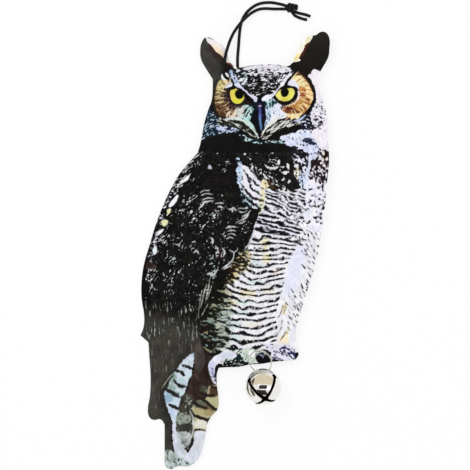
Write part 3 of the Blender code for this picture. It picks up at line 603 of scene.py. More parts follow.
def paintChest(pic):
    # black breast with scattered pale tips
    pic.fur(161, [232, 144, 262, 146, 286, 146, 296, 160, 304, 176, 304, 196, 288, 192, 270, 184, 256, 170,
        240, 160], (2, 1), 2.5, 2.8, 42, ((206, 206, 204), (230, 230, 230)), ((17, 16, 16), (32, 30, 29)),
        soft=1, clump=0.8)
    pic.fur(162, [256, 158, 284, 158, 292, 176, 290, 190, 276, 187, 262, 178, 250, 168], (2.4, 1), 1.9, 2.9,
        40, ((220, 220, 222), (238, 238, 240)), ((17, 16, 16), (30, 28, 28)), soft=1.6, clump=0.7)
    pic.fur(164, [247, 163, 256, 165, 268, 173, 282, 185, 292, 193, 284, 194, 268, 184, 256, 174],
        (1.8, 0.9), 0.4, 2.9, 62, ((236, 236, 238), (214, 214, 214)), ((17, 16, 16), (26, 24, 24)),
        soft=0.9, rough=1.4)
    # lavender shawl below the right of the face
    pic.fur(163, [280, 139, 287, 134.6, 295, 133, 300, 129.4, 307, 129, 313, 134, 318, 139, 332, 138,
        332, 152, 323, 149.6, 321, 153, 319, 159, 315, 165, 311.6, 172, 310.6, 182, 312, 190, 306, 191,
        304, 182, 305.4, 172, 306, 160, 309, 153, 303, 149, 297, 146, 290, 149.6, 285.6, 146, 283, 143],
        (2.2, 1.1), -1.7, 2.6, 50, ((236, 238, 250), (208, 216, 246)), ((30, 32, 44), (70, 76, 100)),
        soft=0.7, rough=2.2, clump=0.8)
    pic.shape([300, 140.4, 305, 138, 311, 139.4, 317, 143.6, 313, 145.4, 308, 143.8, 303, 143], rough=2.6,
        dark=(40, 48, 72))
    pic.fur(167, [289, 147, 300, 149, 308, 156, 309, 170, 308, 190, 302, 192, 297, 180, 293, 164],
        (2.8, 1.3), 0.9, 3, 62, ((232, 230, 246), (214, 216, 240)), ((20, 18, 22), (34, 28, 38)), soft=1.4,
        rough=2, clump=0.6)
    pic.fur(168, [298, 141, 307, 145, 314, 147, 319, 152, 318, 161, 312, 168, 310, 176, 311, 186, 306, 192,
        303, 184, 305, 173, 309, 163, 309.6, 156, 304, 151, 297, 147], (2.6, 1.3), -1.8, 2.6, 60,
        ((228, 230, 248), (208, 215, 244)), ((66, 72, 104), (30, 32, 44)), soft=1, rough=1.8)
    # pale spots beside the shawl, with a cream and a blue patch
    pic.fur(155, [293, 168, 299, 167, 300.6, 176, 296, 179], (2.4, 1.2), -0.4, 2.8, 66,
        ((244, 240, 216), (230, 226, 200)), ((24, 22, 22), (36, 34, 34)), soft=0.9, rough=1)
    pic.fur(156, [299, 174, 305, 175, 306, 190, 300, 188], (2.2, 1.1), -0.4, 2.8, 60,
        ((190, 212, 240), (220, 228, 246)), ((20, 30, 52), (36, 44, 60)), rough=0.9)
    for x, y, rx, ry, turn in (
            (288, 166, 1.3, 2.8, -0.2), (296, 166, 2.3, 1.9, 0.2), (285.4, 172.8, 2.2, 1.3, -0.3),
            (299, 160.6, 1.4, 1.5, 0), (297.6, 156.6, 2, 0.9, 0.4), (278.6, 162.4, 1.2, 2.3, 0.1),
            (283, 179.6, 1.8, 0.9, -0.6), (289, 181.6, 1.2, 1.8, 0.3), (256.6, 152.4, 1.5, 0.9, -0.4),
            (272.4, 152.6, 1.4, 1, 0.3), (245, 154, 0.9, 1, 0)):
        pic.shape(ringPoints(x, y, rx, ry, turn=turn), True, rough=0.7, paper=(232, 234, 238))
    pic.line([264.6, 164.6, 268, 167.6, 274, 168.6, 279, 166.6], 2, True, rough=1)
    # dark marks at the right edge
    pic.fur(165, [311, 161, 317, 158, 319, 150, 323, 149, 328, 153, 329, 166, 327, 176, 324, 190, 319, 188,
        314, 181, 309, 180, 309, 172], (3, 1.6), 0.7, 3, 72, ((242, 232, 234), (236, 234, 246)),
        ((22, 16, 20), (46, 30, 36)), rough=1.2)
    pic.area([322, 150, 326.6, 153, 328, 163, 324, 164], paper=(250, 226, 214), soft=1.2)
    # flank beside the breast, with short dark ticks
    pic.fur(171, [304, 184, 312, 180, 318, 184, 329, 186, 330, 224, 316, 230, 302, 228, 300, 220, 302, 206,
        303, 196], (2.8, 1.3), -1.5, 2.4, 76, ((246, 244, 250), (230, 231, 248)),
        ((30, 28, 36), (60, 60, 76)), soft=0.9, rough=1.4, clump=0.5)
    for x, y, rx, ry, turn in (
            (310, 189.6, 2.8, 0.8, -0.1), (318, 188.4, 2.2, 1, 0.3), (322.6, 186, 1.1, 2.6, 0.3),
            (302.6, 196.6, 2.6, 1.9, 0.2), (314, 194.8, 1.6, 0.9, -0.3), (319, 199, 1.8, 1.2, -0.4),
            (310.6, 201, 1.4, 0.8, -0.5), (304, 202, 2, 1.5, 0.4), (324, 203.6, 0.9, 1.8, 0.2),
            (314.4, 206.4, 2, 0.9, 0.3), (319, 206, 2, 1, -0.5), (323, 208.6, 1.9, 1.2, -0.6),
            (321, 213.4, 1.3, 1.7, 0.2), (314.6, 218, 2.1, 1.1, 0.4), (320.6, 217.4, 1.3, 1.8, -0.2),
            (304.6, 210, 2.6, 1, 0.3), (309, 222, 1.4, 2, 0.9), (321, 223.4, 1.6, 1, 0.3)):
        pic.shape(ringPoints(x, y, rx, ry, 9, turn), rough=0.9, dark=(22, 18, 22))
    pic.flecks([308, 186, 328, 188, 328, 224, 306, 226], (5, 4.6), 3.2, 1.5, 14, False, 58, keep=0.5,
        bend=0.4, spread=40)
    pic.flecks([288, 136, 330, 140, 330, 152, 318, 156, 308, 172, 306, 160, 300, 150, 286, 146], (3.8, 3.2),
        2.4, 1, 40, False, 59, keep=0.55, bend=0.4, spread=40, dark=(34, 36, 48))
    pic.flecks([312, 156, 330, 152, 330, 184, 314, 182], (4, 3.8), 2, 1.2, 60, True, 61, keep=0.5, bend=0.4,
        spread=60, paper=(238, 232, 240))
    # pale blue edge and the first slanting bars
    pic.fur(172, [236.4, 158, 238.6, 160, 241.6, 166, 243, 172, 243.4, 179, 242, 185, 241, 190, 238.6, 186,
        236.6, 178, 236.2, 170, 237.6, 164], (2.2, 0.8), -1, 3, 52, ((176, 204, 236), (228, 234, 244)),
        ((50, 70, 96), (24, 36, 48)), soft=0.7, rough=2.4)
    pic.fur(174, [240, 189, 246, 191, 254, 200, 262, 206, 258, 209, 248, 206.6, 240.6, 201], (2.6, 0.9),
        0.2, 3, 38, ((176, 208, 214), (222, 228, 236)), ((22, 30, 34), (18, 20, 22)), rough=1.6)
    pic.fur(173, [242, 166, 248, 167, 254, 172, 261, 180, 268, 190, 268, 200, 262, 205, 257, 203, 250, 198,
        244, 192, 241, 185, 242.4, 178], (3.2, 1.1), -1.8, 2.1, 46, ((244, 240, 246), (228, 228, 240)),
        ((40, 40, 46), (20, 20, 24)), soft=0.6, rough=1)
    for points, wide in (
            ([241, 183.6, 246, 191, 252.6, 197.4, 258, 199.6, 265, 202.6, 272, 203.4], 2.3),
            ([246, 174, 249.4, 182, 251.6, 189, 257, 192, 262, 196.4, 270, 198.4], 2.2),
            ([243, 169.6, 247, 175, 252, 180.4, 258, 185.6, 264, 189.4], 2.1),
            ([248.6, 168, 254, 174, 260, 180, 266, 187.4, 274, 190], 2.2),
            ([243.4, 195.6, 249, 200.6, 256, 205, 262, 206.6], 1.7),
            ([240.6, 200, 245, 204, 250, 207.4], 1.1),
            ([254, 168.6, 259, 174, 266, 180.4, 274, 186.6, 282, 190], 1.8),
            ([260, 168, 266, 175, 272, 180.6, 280, 184], 1.1)):
        pic.line(points, wide, rough=0.9, tips=(0.4, 0.3))
    # warm patch in the middle of the breast
    pic.fur(178, [260.6, 181, 266.6, 180.4, 269.6, 186, 271, 190.6, 268, 192, 265.6, 197, 265.2, 204,
        264.4, 211, 261, 216, 258, 215, 260, 208, 261.6, 200, 261, 192, 262.6, 188], (2.4, 1.1), -1.4, 2.8,
        40, ((244, 236, 204), (236, 222, 172)), ((84, 72, 52), (40, 34, 26)), tone=10, soft=1, rough=2,
        share=0.92)
    pic.area([259.6, 198, 265, 198, 264.6, 211, 259.6, 212], paper=(226, 228, 198), soft=1.2)
    for points, wide in (
            ([265.6, 179.6, 270.4, 185, 275.6, 189.6], 2.4), ([258, 186, 262, 188.6, 266, 190.4], 0.9),
            ([257, 198.6, 263, 200.4, 270, 200], 1), ([256, 192.6, 261, 195, 264, 195.4], 0.8)):
        pic.line(points, wide, rough=0.9, dark=(66, 52, 34))
    # bars of the lower breast
    rows = [264, 190, 272, 190, 284, 192, 294, 190, 304, 188, 306, 200, 304, 212, 300, 226, 298, 236,
        256, 236, 257, 218, 263, 208, 265, 198]
    pic.fur(176, rows, (4, 1.2), -1.9, 1.6, 16, ((240, 238, 246), (226, 228, 242)),
        ((18, 16, 20), (30, 28, 34)), rough=1)
    spines = (
        (188, ((256, -10), (268, -5), (280, 1), (292, 7), (304, 11))),
        (206, ((256, -8), (266, -4), (278, 0), (290, 7), (306, 14))),
        (222, ((252, -5), (264, -2), (276, 0), (288, 5), (302, 9))),
        (236, ((250, -2), (262, -1), (274, 0), (286, 1), (300, 4))),
    )
    pic.bars(rows, spines, (4.3, 5), 0.56, 2, 60, 1.5)
    pic.flecks([278, 190, 304, 190, 304, 230, 286, 226, 270, 206], (3.4, 3), 3.4, 1.1, 26, True, 56,
        keep=0.5, bend=0.3, paper=(236, 236, 244))
    pic.flecks([284, 194, 304, 196, 304, 230, 288, 228], (3.6, 3), 3, 1.3, 24, False, 57, keep=0.5,
        bend=0.3)
    for x, y, r in ((291.4, 217.6, 2.2), (299, 214, 2.6), (300, 224, 1.8), (285.4, 223, 1.4)):
        pic.shape(ringPoints(x, y, r, r * 0.8), True, rough=0.8)
        pic.line([(x - r - 1, y - 0.6), (x, y - r - 0.6), (x + r + 1, y)], 0.9, rough=0.5)


def paintBelly(pic):
    # dark fold between the wing and the belly
    pic.fur(180, [251, 232, 256, 240, 250, 256, 244, 272, 238, 284, 232, 296, 226, 308, 222, 330, 220, 352,
        206, 354, 200, 330, 206, 310, 216, 292, 226, 276, 236, 258, 246, 244], (3.4, 1.2), 1.3, 2.6, 20,
        ((150, 140, 96), (120, 130, 112)), ((24, 19, 15), (16, 14, 13)), soft=1.6, rough=1)
    # pale ground of the belly and flank
    pic.fur(181, [256, 228, 276, 224, 304, 222, 326, 222, 326, 250, 316, 290, 304, 330, 298, 352, 276, 350,
        240, 350, 216, 350, 213, 338, 211, 322, 215, 310, 221, 300, 225, 290, 230, 280, 235, 271, 241, 262,
        247, 251, 251, 240], (4, 1.1), -2.7, 0.9, 80, ((247, 246, 249), (230, 229, 238)),
        ((30, 28, 34), (16, 15, 16)), soft=0.7, rough=1)
    pic.area([296, 245, 304, 244, 305, 258, 298, 280, 292, 292, 286, 296, 283, 285, 287, 270],
        paper=(231, 232, 250), soft=2.4, rough=1.6)
    for x, y, rx, ry, colour in (
            (265, 243, 4, 7, "straw"), (266, 258, 4, 5, "straw"), (243, 268, 7, 4, "straw"),
            (247, 293, 8, 4, "straw"), (232, 273, 5, 4, "straw"), (232, 303, 7, 3, "straw"),
            (255, 264, 6, 4, "teal"), (243, 302, 9, 3, "teal"), (238, 313, 10, 3, "teal"),
            (232, 325, 8, 4, "teal"), (231, 338, 9, 4, "teal"), (220, 308, 5, 4, "olive"),
            (216, 322, 5, 4, "olive"), (222, 337, 6, 4, "olive"), (268, 290, 6, 4, "cream"),
            (276, 272, 5, 3, "cream"), (253, 325, 8, 3, "cream"), (246, 342, 7, 3, "cream"),
            (256, 283, 7, 3, "teal"), (226, 293, 4, 4, "olive"), (241, 258, 4, 3, "rust")):
        pic.area(ringPoints(x, y, rx, ry, 10), paper=inks[colour], soft=1.8, rough=1.4, share=0.5)
    belly = [256, 228, 276, 224, 292, 228, 298, 238, 297, 247, 292, 256, 288, 264, 285, 272, 285, 282,
        283, 291, 280, 300, 277, 311, 276, 320, 279, 330, 277, 340, 270, 346, 256, 350, 236, 351, 216, 350,
        212, 338, 210, 322, 214, 310, 220, 299, 225, 289, 229, 279, 235, 270, 241, 260, 247, 250, 251, 240]
    spines = (
        (226, ((250, -2), (262, -1), (274, 0), (286, 1), (298, 3))),
        (242, ((246, 2), (258, 1), (270, 0), (284, 0), (298, 3))),
        (262, ((240, -4), (252, 0), (264, 0), (276, 0), (290, -2))),
        (282, ((226, -7), (238, -2), (252, 2), (263, 2), (272, -1), (284, -4))),
        (302, ((214, -7), (228, -3), (244, 1), (256, 1), (268, 1), (282, -3))),
        (325, ((208, -7), (222, -3), (238, 0), (252, 2), (264, 0), (278, -5))),
        (348, ((208, -7), (222, -1), (236, 3), (250, 4), (262, 1), (276, -7))),
    )
    pic.bars(belly, spines, (4.9, 7), 0.43, 1.3, 61, 1.1)
    # downy hairs that cross the bars
    pic.flecks(belly, (3.2, 3), 3, 0.5, 84, True, 69, keep=0.38, spread=16, paper=(244, 243, 244),
        tones=(0.86, 1))
    # short tapered darks that close some of the gaps on the left
    pic.fur(183, [211, 306, 220, 298, 228, 290, 232, 300, 230, 320, 228, 346, 216, 350, 211, 338, 209, 322],
        (4.2, 1.1), 0.3, 2.9, 8, ((180, 170, 120), (150, 168, 158)), ((26, 26, 18), (24, 32, 32)), soft=4,
        rough=1.8, tone=12, share=0.55)
    pic.fur(184, [236, 256, 247, 250, 252, 258, 246, 268, 238, 278, 230, 284, 228, 276], (3.6, 1.2), 0.5,
        2.8, 14, ((206, 190, 128), (196, 192, 172)), ((44, 28, 18), (28, 22, 16)), soft=1.8, rough=1.2,
        share=0.75)
    pic.fur(185, [203, 318, 212, 316, 215, 330, 214, 346, 207, 348, 203, 334], (3.4, 1.2), 1.5, 2.8, 16,
        ((110, 150, 150), (140, 150, 120)), ((20, 26, 24), (24, 20, 18)), soft=2.4, rough=1.4, share=0.85)
    pic.fur(186, [214, 292, 224, 290, 222, 306, 216, 320, 210, 322, 208, 306], (5, 1.5), 0.9, 2.8, 20,
        ((150, 146, 100), (120, 132, 116)), ((30, 26, 16), (16, 18, 18)), soft=2.4, rough=1.4, share=0.85,
        sway=1)
    pic.fur(187, [201, 322, 213, 318, 216, 334, 214, 352, 206, 352, 201, 338], (5, 1.5), 0.6, 2.8, 14,
        ((118, 140, 140), (134, 124, 96)), ((22, 26, 26), (30, 20, 16)), soft=2.4, rough=1.4, share=0.9,
        sway=1)
    pic.fur(188, [213, 304, 222, 299, 229, 306, 231, 322, 229, 342, 220, 350, 212, 348, 212, 326], (6, 1.2),
        0.2, 2.6, 10, ((176, 190, 176), (150, 170, 166)), ((28, 28, 18), (18, 24, 24)), soft=5, rough=1.4,
        share=0.5, sway=1)
    # broken rows where the bars meet the flank
    pic.flecks([284, 226, 304, 224, 306, 236, 300, 246, 290, 246], (4, 3.4), 4.6, 1.6, 26, False, 62,
        bend=0.3)
    # slanting dashes down the flank
    pic.flecks([302, 228, 322, 228, 320, 250, 312, 280, 303, 310, 296, 336, 288, 330, 290, 310, 298, 286,
        302, 262], (4.4, 5.8), 5, 1.2, 56, False, 66, keep=0.85, spread=16)
    pic.flecks([286, 300, 294, 286, 299, 290, 294, 316, 286, 322], (5, 5.4), 6.4, 0.9, 55, False, 67,
        keep=0.6, spread=12, dark=(30, 30, 38))
    # golden hairs beside the lowest bars
    for a, b, wide in (
            ((281, 312), (286, 303), 1.1), ((283, 314), (287, 306), 0.8), ((284, 338), (289, 327), 0.8),
            ((281, 341), (286, 333), 0.7)):
        pic.line([a, ((a[0] + b[0]) / 2 + 0.5, (a[1] + b[1]) / 2), b], wide, True, paper=(206, 184, 120),
            rough=0.9)
    for points in (
            [278, 318, 281, 312, 283, 304], [284, 311, 287, 306, 286.6, 302],
            [277, 334, 281, 328, 282, 320], [279, 342, 283, 336, 288, 328]):
        pic.line(points, 0.8, rough=0.6, dark=(60, 46, 30))
    pic.area([279, 338, 287, 335, 288, 345, 280, 346], paper=(250, 236, 206), soft=1.4)
    # the wing's edge against the belly, with its thin pale line
    pic.line([256, 222, 254, 230, 251.6, 238, 248, 245, 243, 252], 1.2, True, paper=(196, 204, 218),
        rough=0.6)


def paintWing(pic):
    white = inks["white"]
    # fine pale squiggles over the folded wing
    wander = ((164, 172, 172), (226, 230, 232))
    deep = ((13, 12, 12), (27, 25, 23))
    for points, cells, bias, turn, seed, tint, wire in (
            ([176, 196, 200, 184, 222, 200, 226, 226, 238, 240, 236, 262, 220, 274, 196, 268, 172, 262,
                156, 262, 156, 244, 166, 222], (2.8, 1.7), 0.1, -48, 191, wander, 0.1),
            ([148, 252, 186, 254, 206, 262, 204, 296, 190, 322, 172, 334, 150, 334, 146, 290], (2.8, 1.6),
                0.1, -62, 192, wander, 0.1),
            ([196, 262, 222, 262, 216, 280, 206, 300, 186, 304, 176, 298, 196, 282], (3.8, 1.9), 0.1, -40,
                193, ((150, 170, 166), (206, 218, 216)), 0.11),
            ([192, 150, 230, 150, 232, 196, 214, 206, 196, 190, 184, 188], (1.8, 0.8), 2.4, -32, 194,
                ((150, 148, 156), (206, 206, 212)), 0.0),
            ([230, 180, 240, 204, 254, 214, 250, 240, 238, 262, 226, 262, 226, 226, 218, 204], (2.0, 0.8),
                2.0, -30, 195, ((140, 160, 160), (206, 210, 212)), 0.0),
            ([206, 140, 196, 152, 180, 170, 168, 190, 158, 214, 150, 240, 147, 262, 155, 262, 160, 240,
                168, 216, 178, 194, 190, 176, 206, 160], (3.6, 1.8), 0.1, -38, 196, ((190, 188, 196),
                (232, 230, 236)), 0.14)):
        pic.fur(seed, points, cells, bias, 3, turn, tint, deep, soft=2.6, rough=2.4, clump=0.9, sway=1.3,
            wire=wire)
    # bright patches along the wing's edge
    for points, colour in (
            ([190.6, 173, 189.6, 177, 186.6, 180.4, 181, 183, 180.6, 181, 184, 178.6], white),
            ([177.6, 195, 177, 200, 173.6, 204.4, 169.6, 207.4, 169.6, 204.6, 172.6, 199.6], white),
            ([166.6, 209.6, 171, 208.6, 170, 212.6, 168, 214], (228, 226, 176)),
            ([161.4, 221.4, 163.6, 219.4, 167, 220.4, 167.4, 223, 164.4, 226.4, 162, 224.2],
                (228, 226, 178)),
            ([163.6, 228.6, 162, 232.4, 158, 235.6, 156.6, 235, 158.6, 231], white),
            ([155, 245.6, 157, 248.6, 157, 252, 154, 254.6, 152.6, 250.6], (224, 236, 240)),
            ([207.6, 168.6, 209.4, 165, 211.4, 168.4, 210, 169], (196, 194, 206))):
        pic.shape(points, True, paper=colour, rough=0.9)
    for x, y, long in (
            (196, 157, 3), (191, 162, 3), (186, 167.6, 2.6), (180, 172, 2.6), (176, 180, 3),
            (173, 186, 2.6), (181, 186, 2), (168, 191, 2.6), (164, 199, 2.4), (161, 207, 2), (158, 214, 2),
            (156, 222, 2), (159.6, 240.6, 2.4), (156, 239, 2), (163, 236.6, 2), (150, 243, 1.6),
            (149, 256, 1.6)):
        pic.line([(x - long * 0.8, y + long * 0.6), (x, y), (x + long * 0.8, y - long * 0.6)], 0.9, True,
            paper=(212, 210, 216), rough=0.3)
    # rows of short wavy bars across the feathers
    for points in (
            [200, 193, 204, 190.6, 209.6, 190.6], [201, 195.6, 206, 193.6, 212.6, 194.4],
            [203, 199.4, 208, 198, 213.6, 198.4], [201.6, 202.6, 207, 201.6, 214, 200.4],
            [215, 204, 219, 203, 224, 203.4], [217.6, 207, 220, 206.4, 222.6, 208],
            [227, 208.6, 231, 209.4, 236, 209], [238, 207.6, 243, 208.6, 248.6, 207.6],
            [238.6, 211.4, 243, 212.4, 247, 210.6], [242, 216.6, 247, 214.4, 251, 209.6],
            [241.6, 219.6, 246, 217.6, 249, 213.6], [235.6, 222.4, 240, 221, 244, 219.4],
            [238, 223.6, 243, 222.4, 246, 220.4], [226, 228.4, 230.6, 226.6, 237.6, 227.4],
            [226.6, 231.4, 231, 230.4, 237, 231], [228, 234.4, 232, 233.6, 236.6, 236],
            [227, 238.6, 230, 237, 234, 239], [229, 250, 233.6, 252.4, 233, 259, 228, 264.6, 221, 269],
            [215.6, 246, 218, 250, 215.6, 254.6], [222, 247.6, 224.6, 252, 223, 257],
            [234, 262, 229, 266.6, 222, 270], [209.6, 272, 213, 276, 218, 268],
            [210, 237, 213, 240.6, 211, 243], [194, 253, 196.6, 250.6, 199, 254.6]):
        pic.line(points, 1.05, True, rough=0.5, paper=(214, 214, 218))
    pic.area([146, 262, 154, 264, 156, 270, 149, 272, 145, 268], dark=(46, 32, 27), soft=1.6)
    pic.area([218, 250, 226, 252, 224, 260, 216, 258], dark=(44, 18, 22), soft=1.5)


def paintTail(pic):
    # lower wing and outer tail: black lifted to a smooth grey as painted sheen on the glossy film, under
    # faint upright streaks
    pic.sheenVeil([130, 322, 144, 314, 170, 318, 190, 324, 206, 332, 208, 344, 200, 352, 194, 352, 184, 362,
        174, 376, 166, 392, 166, 408, 171, 416, 174, 430, 174, 456, 160, 456, 120, 430, 110, 380],
        inks["tailSheen"], 12)
    pic.fur(201, [146, 296, 182, 298, 202, 306, 204, 346, 194, 356, 176, 368, 160, 372, 148, 356, 142, 336],
        (8, 0.6), 1.2, 2.8, 84, ((104, 106, 102), (176, 178, 172)), None, soft=6, rough=2.6, clump=0.7,
        share=0.9)
    pic.fur(202, [144, 340, 200, 344, 176, 372, 164, 392, 166, 412, 148, 420, 146, 380], (9, 0.6), 1.2, 2.4,
        87, ((86, 84, 78), (116, 114, 106)), None, soft=4, share=0.9)
    for points, wide in (
            ([214, 296, 207.6, 305, 201, 317], 0.9), ([210, 279, 208, 290, 205, 304], 0.6),
            ([206.6, 284, 203.4, 296, 200.6, 308], 0.7), ([212, 285, 210, 291, 207.4, 299], 0.5),
            ([202, 291, 200, 301, 198, 318], 0.6), ([176, 371, 169, 378, 162, 388], 0.8),
            ([201, 368, 202, 374, 205, 380], 0.9)):
        pic.line(points, wide, True, rough=0.3, paper=(204, 200, 184))
    # dark hollow behind the foot
    pic.fur(203, [194, 346, 202, 342, 212, 352, 212, 362, 209, 372, 214, 384, 219, 388, 219, 400, 206, 402,
        194, 402, 186, 396, 190, 380, 194, 368], (5, 1.1), 2.6, 2, 70, ((110, 106, 90), (140, 120, 100)),
        ((64, 50, 46), (44, 34, 30)), soft=1.4, rough=1)
    pic.area([195, 344, 202, 342, 205, 360, 200, 372, 195, 366], 3, dark=(72, 66, 62), soft=1.6, rough=1)
    pic.area([201, 386, 211, 388, 212, 394, 203, 396], 1.6, (120, 130, 110), (70, 72, 58), soft=1.4,
        mottle=1.2)
    pic.area([205, 364, 210, 366, 208, 378, 203, 376], 3, dark=(40, 28, 26), soft=1.4)
    # first tail feather: pale blue, barred
    pic.fur(206, [194, 353, 194, 359, 193, 366, 192.4, 372, 189, 380, 187, 386, 184, 393, 181.4, 400,
        179.4, 406, 178.4, 412, 177.4, 420, 176, 428, 173.6, 428, 172, 420, 169, 413, 166.6, 407, 165, 400,
        164, 394, 167, 388, 169, 383, 173, 376, 176, 370, 180, 365, 184, 360, 189, 355], (3.4, 0.8), -1.9,
        2.1, 28, ((218, 224, 240), (190, 208, 218)), ((96, 112, 116), (62, 70, 72)), soft=0.9, rough=1.2)
    for x, y, rx, ry, colour in (
            (188, 376, 5, 3, (198, 218, 222)), (173, 378, 4, 6, (128, 148, 140)),
            (180, 381, 4, 3, (182, 206, 208)), (171, 388, 5, 4, (128, 150, 142)),
            (181, 391, 4, 4, (196, 214, 218)), (168, 398, 5, 5, (132, 168, 190)),
            (176, 402, 4, 4, (200, 220, 234)), (171, 412, 3, 4, (180, 202, 230)),
            (176, 394, 3, 2, (96, 108, 104)), (182, 386, 3, 2, (110, 122, 116))):
        pic.area(ringPoints(x, y, rx, ry, 9), paper=colour, soft=1.6, rough=1.2, share=0.8)
    for points, wide in (
            ([183, 365.6, 188, 366.8, 192.8, 369.8], 2.8), ([175, 371, 180, 371.6, 184, 375], 3.2),
            ([174, 380, 178, 385, 185, 386.8], 3.2), ([166, 389.4, 172, 392.4, 179.4, 397.4], 4),
            ([168.6, 404.4, 174, 406.8, 180, 410], 3.4)):
        pic.line(points, wide, rough=0.9, tips=(0.5, 0.55), dark=(36, 36, 35))
    # middle feathers: grey and olive, in loops
    pic.fur(204, [182, 396, 190, 394, 196, 404, 196, 420, 194, 442, 188, 450, 182, 448, 178, 440, 176, 428,
        178, 410], (2.6, 1.4), 1, 2.4, 78, ((140, 144, 128), (170, 176, 164)), ((72, 70, 58), (52, 50, 46)),
        soft=0.9, rough=0.8)
    pic.fur(218, [177, 415, 184, 413, 190, 415, 190, 422, 182, 425, 177, 422], (1.6, 3.4), -0.9, 2.2,
        (184, 420), ((160, 168, 156), (134, 142, 132)), ((86, 86, 78), (66, 66, 60)), soft=0.9, rough=0.7)
    pic.shape([177.6, 426, 183, 423.6, 190.6, 423.6, 190, 430.6, 185, 432, 179.6, 431], rough=0.7,
        dark=(58, 56, 53))
    pic.fur(219, [178, 433, 189, 432, 191, 440, 188, 447, 181, 447, 178, 440], (1.6, 3.6), -0.9, 2.2,
        (185, 431), ((152, 160, 156), (186, 192, 190)), ((84, 86, 82), (62, 62, 60)), soft=0.9, rough=0.7)
    pic.line([184, 437.6, 188, 436.4, 190.6, 431], 0.9, True, paper=(214, 216, 220))
    pic.line([190, 411, 193, 418, 193.4, 428, 191.4, 437, 187, 441], 1.3, True, paper=(206, 208, 202))
    pic.line([194.8, 420, 195.8, 432, 193.6, 441, 189, 446.6, 185, 446], 2.6, dark=(36, 35, 34), rough=0.4)
    pic.area([172.6, 424, 176, 430, 178.6, 438, 181, 446, 186, 454, 190.6, 461, 184, 461, 177.6, 456,
        173.6, 448, 172.6, 438], -2.8, (222, 221, 240), soft=0.8, rough=0.9)
    pic.fur(207, [174, 432, 180, 440, 186, 450, 191, 460, 184, 461, 177, 454, 173, 442], (3, 0.8), -1.2,
        2.4, 62, ((226, 226, 242), (190, 198, 206)), ((120, 126, 132), (80, 84, 86)), soft=1.4, rough=1,
        share=0.8)
    pic.area([178, 440, 183, 446, 186, 454, 182, 454], paper=(190, 202, 204), soft=1.2)
    # right feather: tan, barred, then white
    pic.area([209, 386, 219, 386, 219, 400, 218.4, 410, 213, 416.6, 208, 419, 206.4, 431, 195, 432,
        195, 416, 192, 408, 198, 400, 206, 398], -1.8, (186, 178, 142), (58, 46, 34), soft=0.8, rough=0.9,
        mottle=1.2)
    for x, y, rx, ry, colour in (
            (214, 391, 5, 6, (78, 60, 42)), (215, 402, 4, 4, (178, 178, 138)),
            (200, 404, 7, 4, (92, 98, 84)), (206, 408, 6, 3, (116, 100, 72)),
            (199, 412, 6, 3, (178, 168, 128)), (209, 413, 5, 3, (164, 150, 106)),
            (201, 424, 7, 5, (226, 222, 208))):
        pic.area(ringPoints(x, y, rx, ry, 9), paper=colour, soft=1.2, rough=1)
    for points, wide in (
            ([198, 397, 206, 401.6, 212, 407, 218.6, 411], 3.2), ([192, 402, 200, 406, 207, 408], 2.6),
            ([193, 415, 200, 417.4, 208.6, 420.6], 3.4), ([194.6, 430.2, 200, 430, 206.6, 431.6], 2.4),
            ([200, 392.6, 208, 395.6, 214, 395], 3), ([211, 386.4, 215, 388, 218.6, 387], 2.2)):
        pic.line(points, wide, rough=0.6, tips=(0.5, 0.5), dark=(38, 32, 26))
    pic.area([195, 432, 206.4, 432, 205, 441, 202.6, 451, 199, 459, 193.6, 463.6, 188.6, 461.6, 186.6, 456,
        190, 450, 194, 442], -2.8, (226, 226, 240), soft=0.7)
    pic.fur(208, [196, 433, 206, 433, 203, 450, 198, 459, 190, 462, 188, 456, 194, 444], (3.2, 0.8), -1.6,
        2.2, 108, ((228, 228, 242), (198, 206, 212)), ((130, 134, 142), (96, 100, 104)), soft=1.2,
        rough=0.8, share=0.8)
    # fuzzy foot of the tail
    pic.fur(205, [164, 451, 171, 450, 177, 454, 184, 459, 191, 462, 197, 462.6, 190, 467, 180, 469,
        172, 468, 167, 471, 163, 466], (2.4, 1.2), -0.9, 2.6, 62, ((200, 214, 220), (160, 172, 160)),
        ((84, 96, 90), (60, 66, 60)), soft=0.9, rough=0.9)


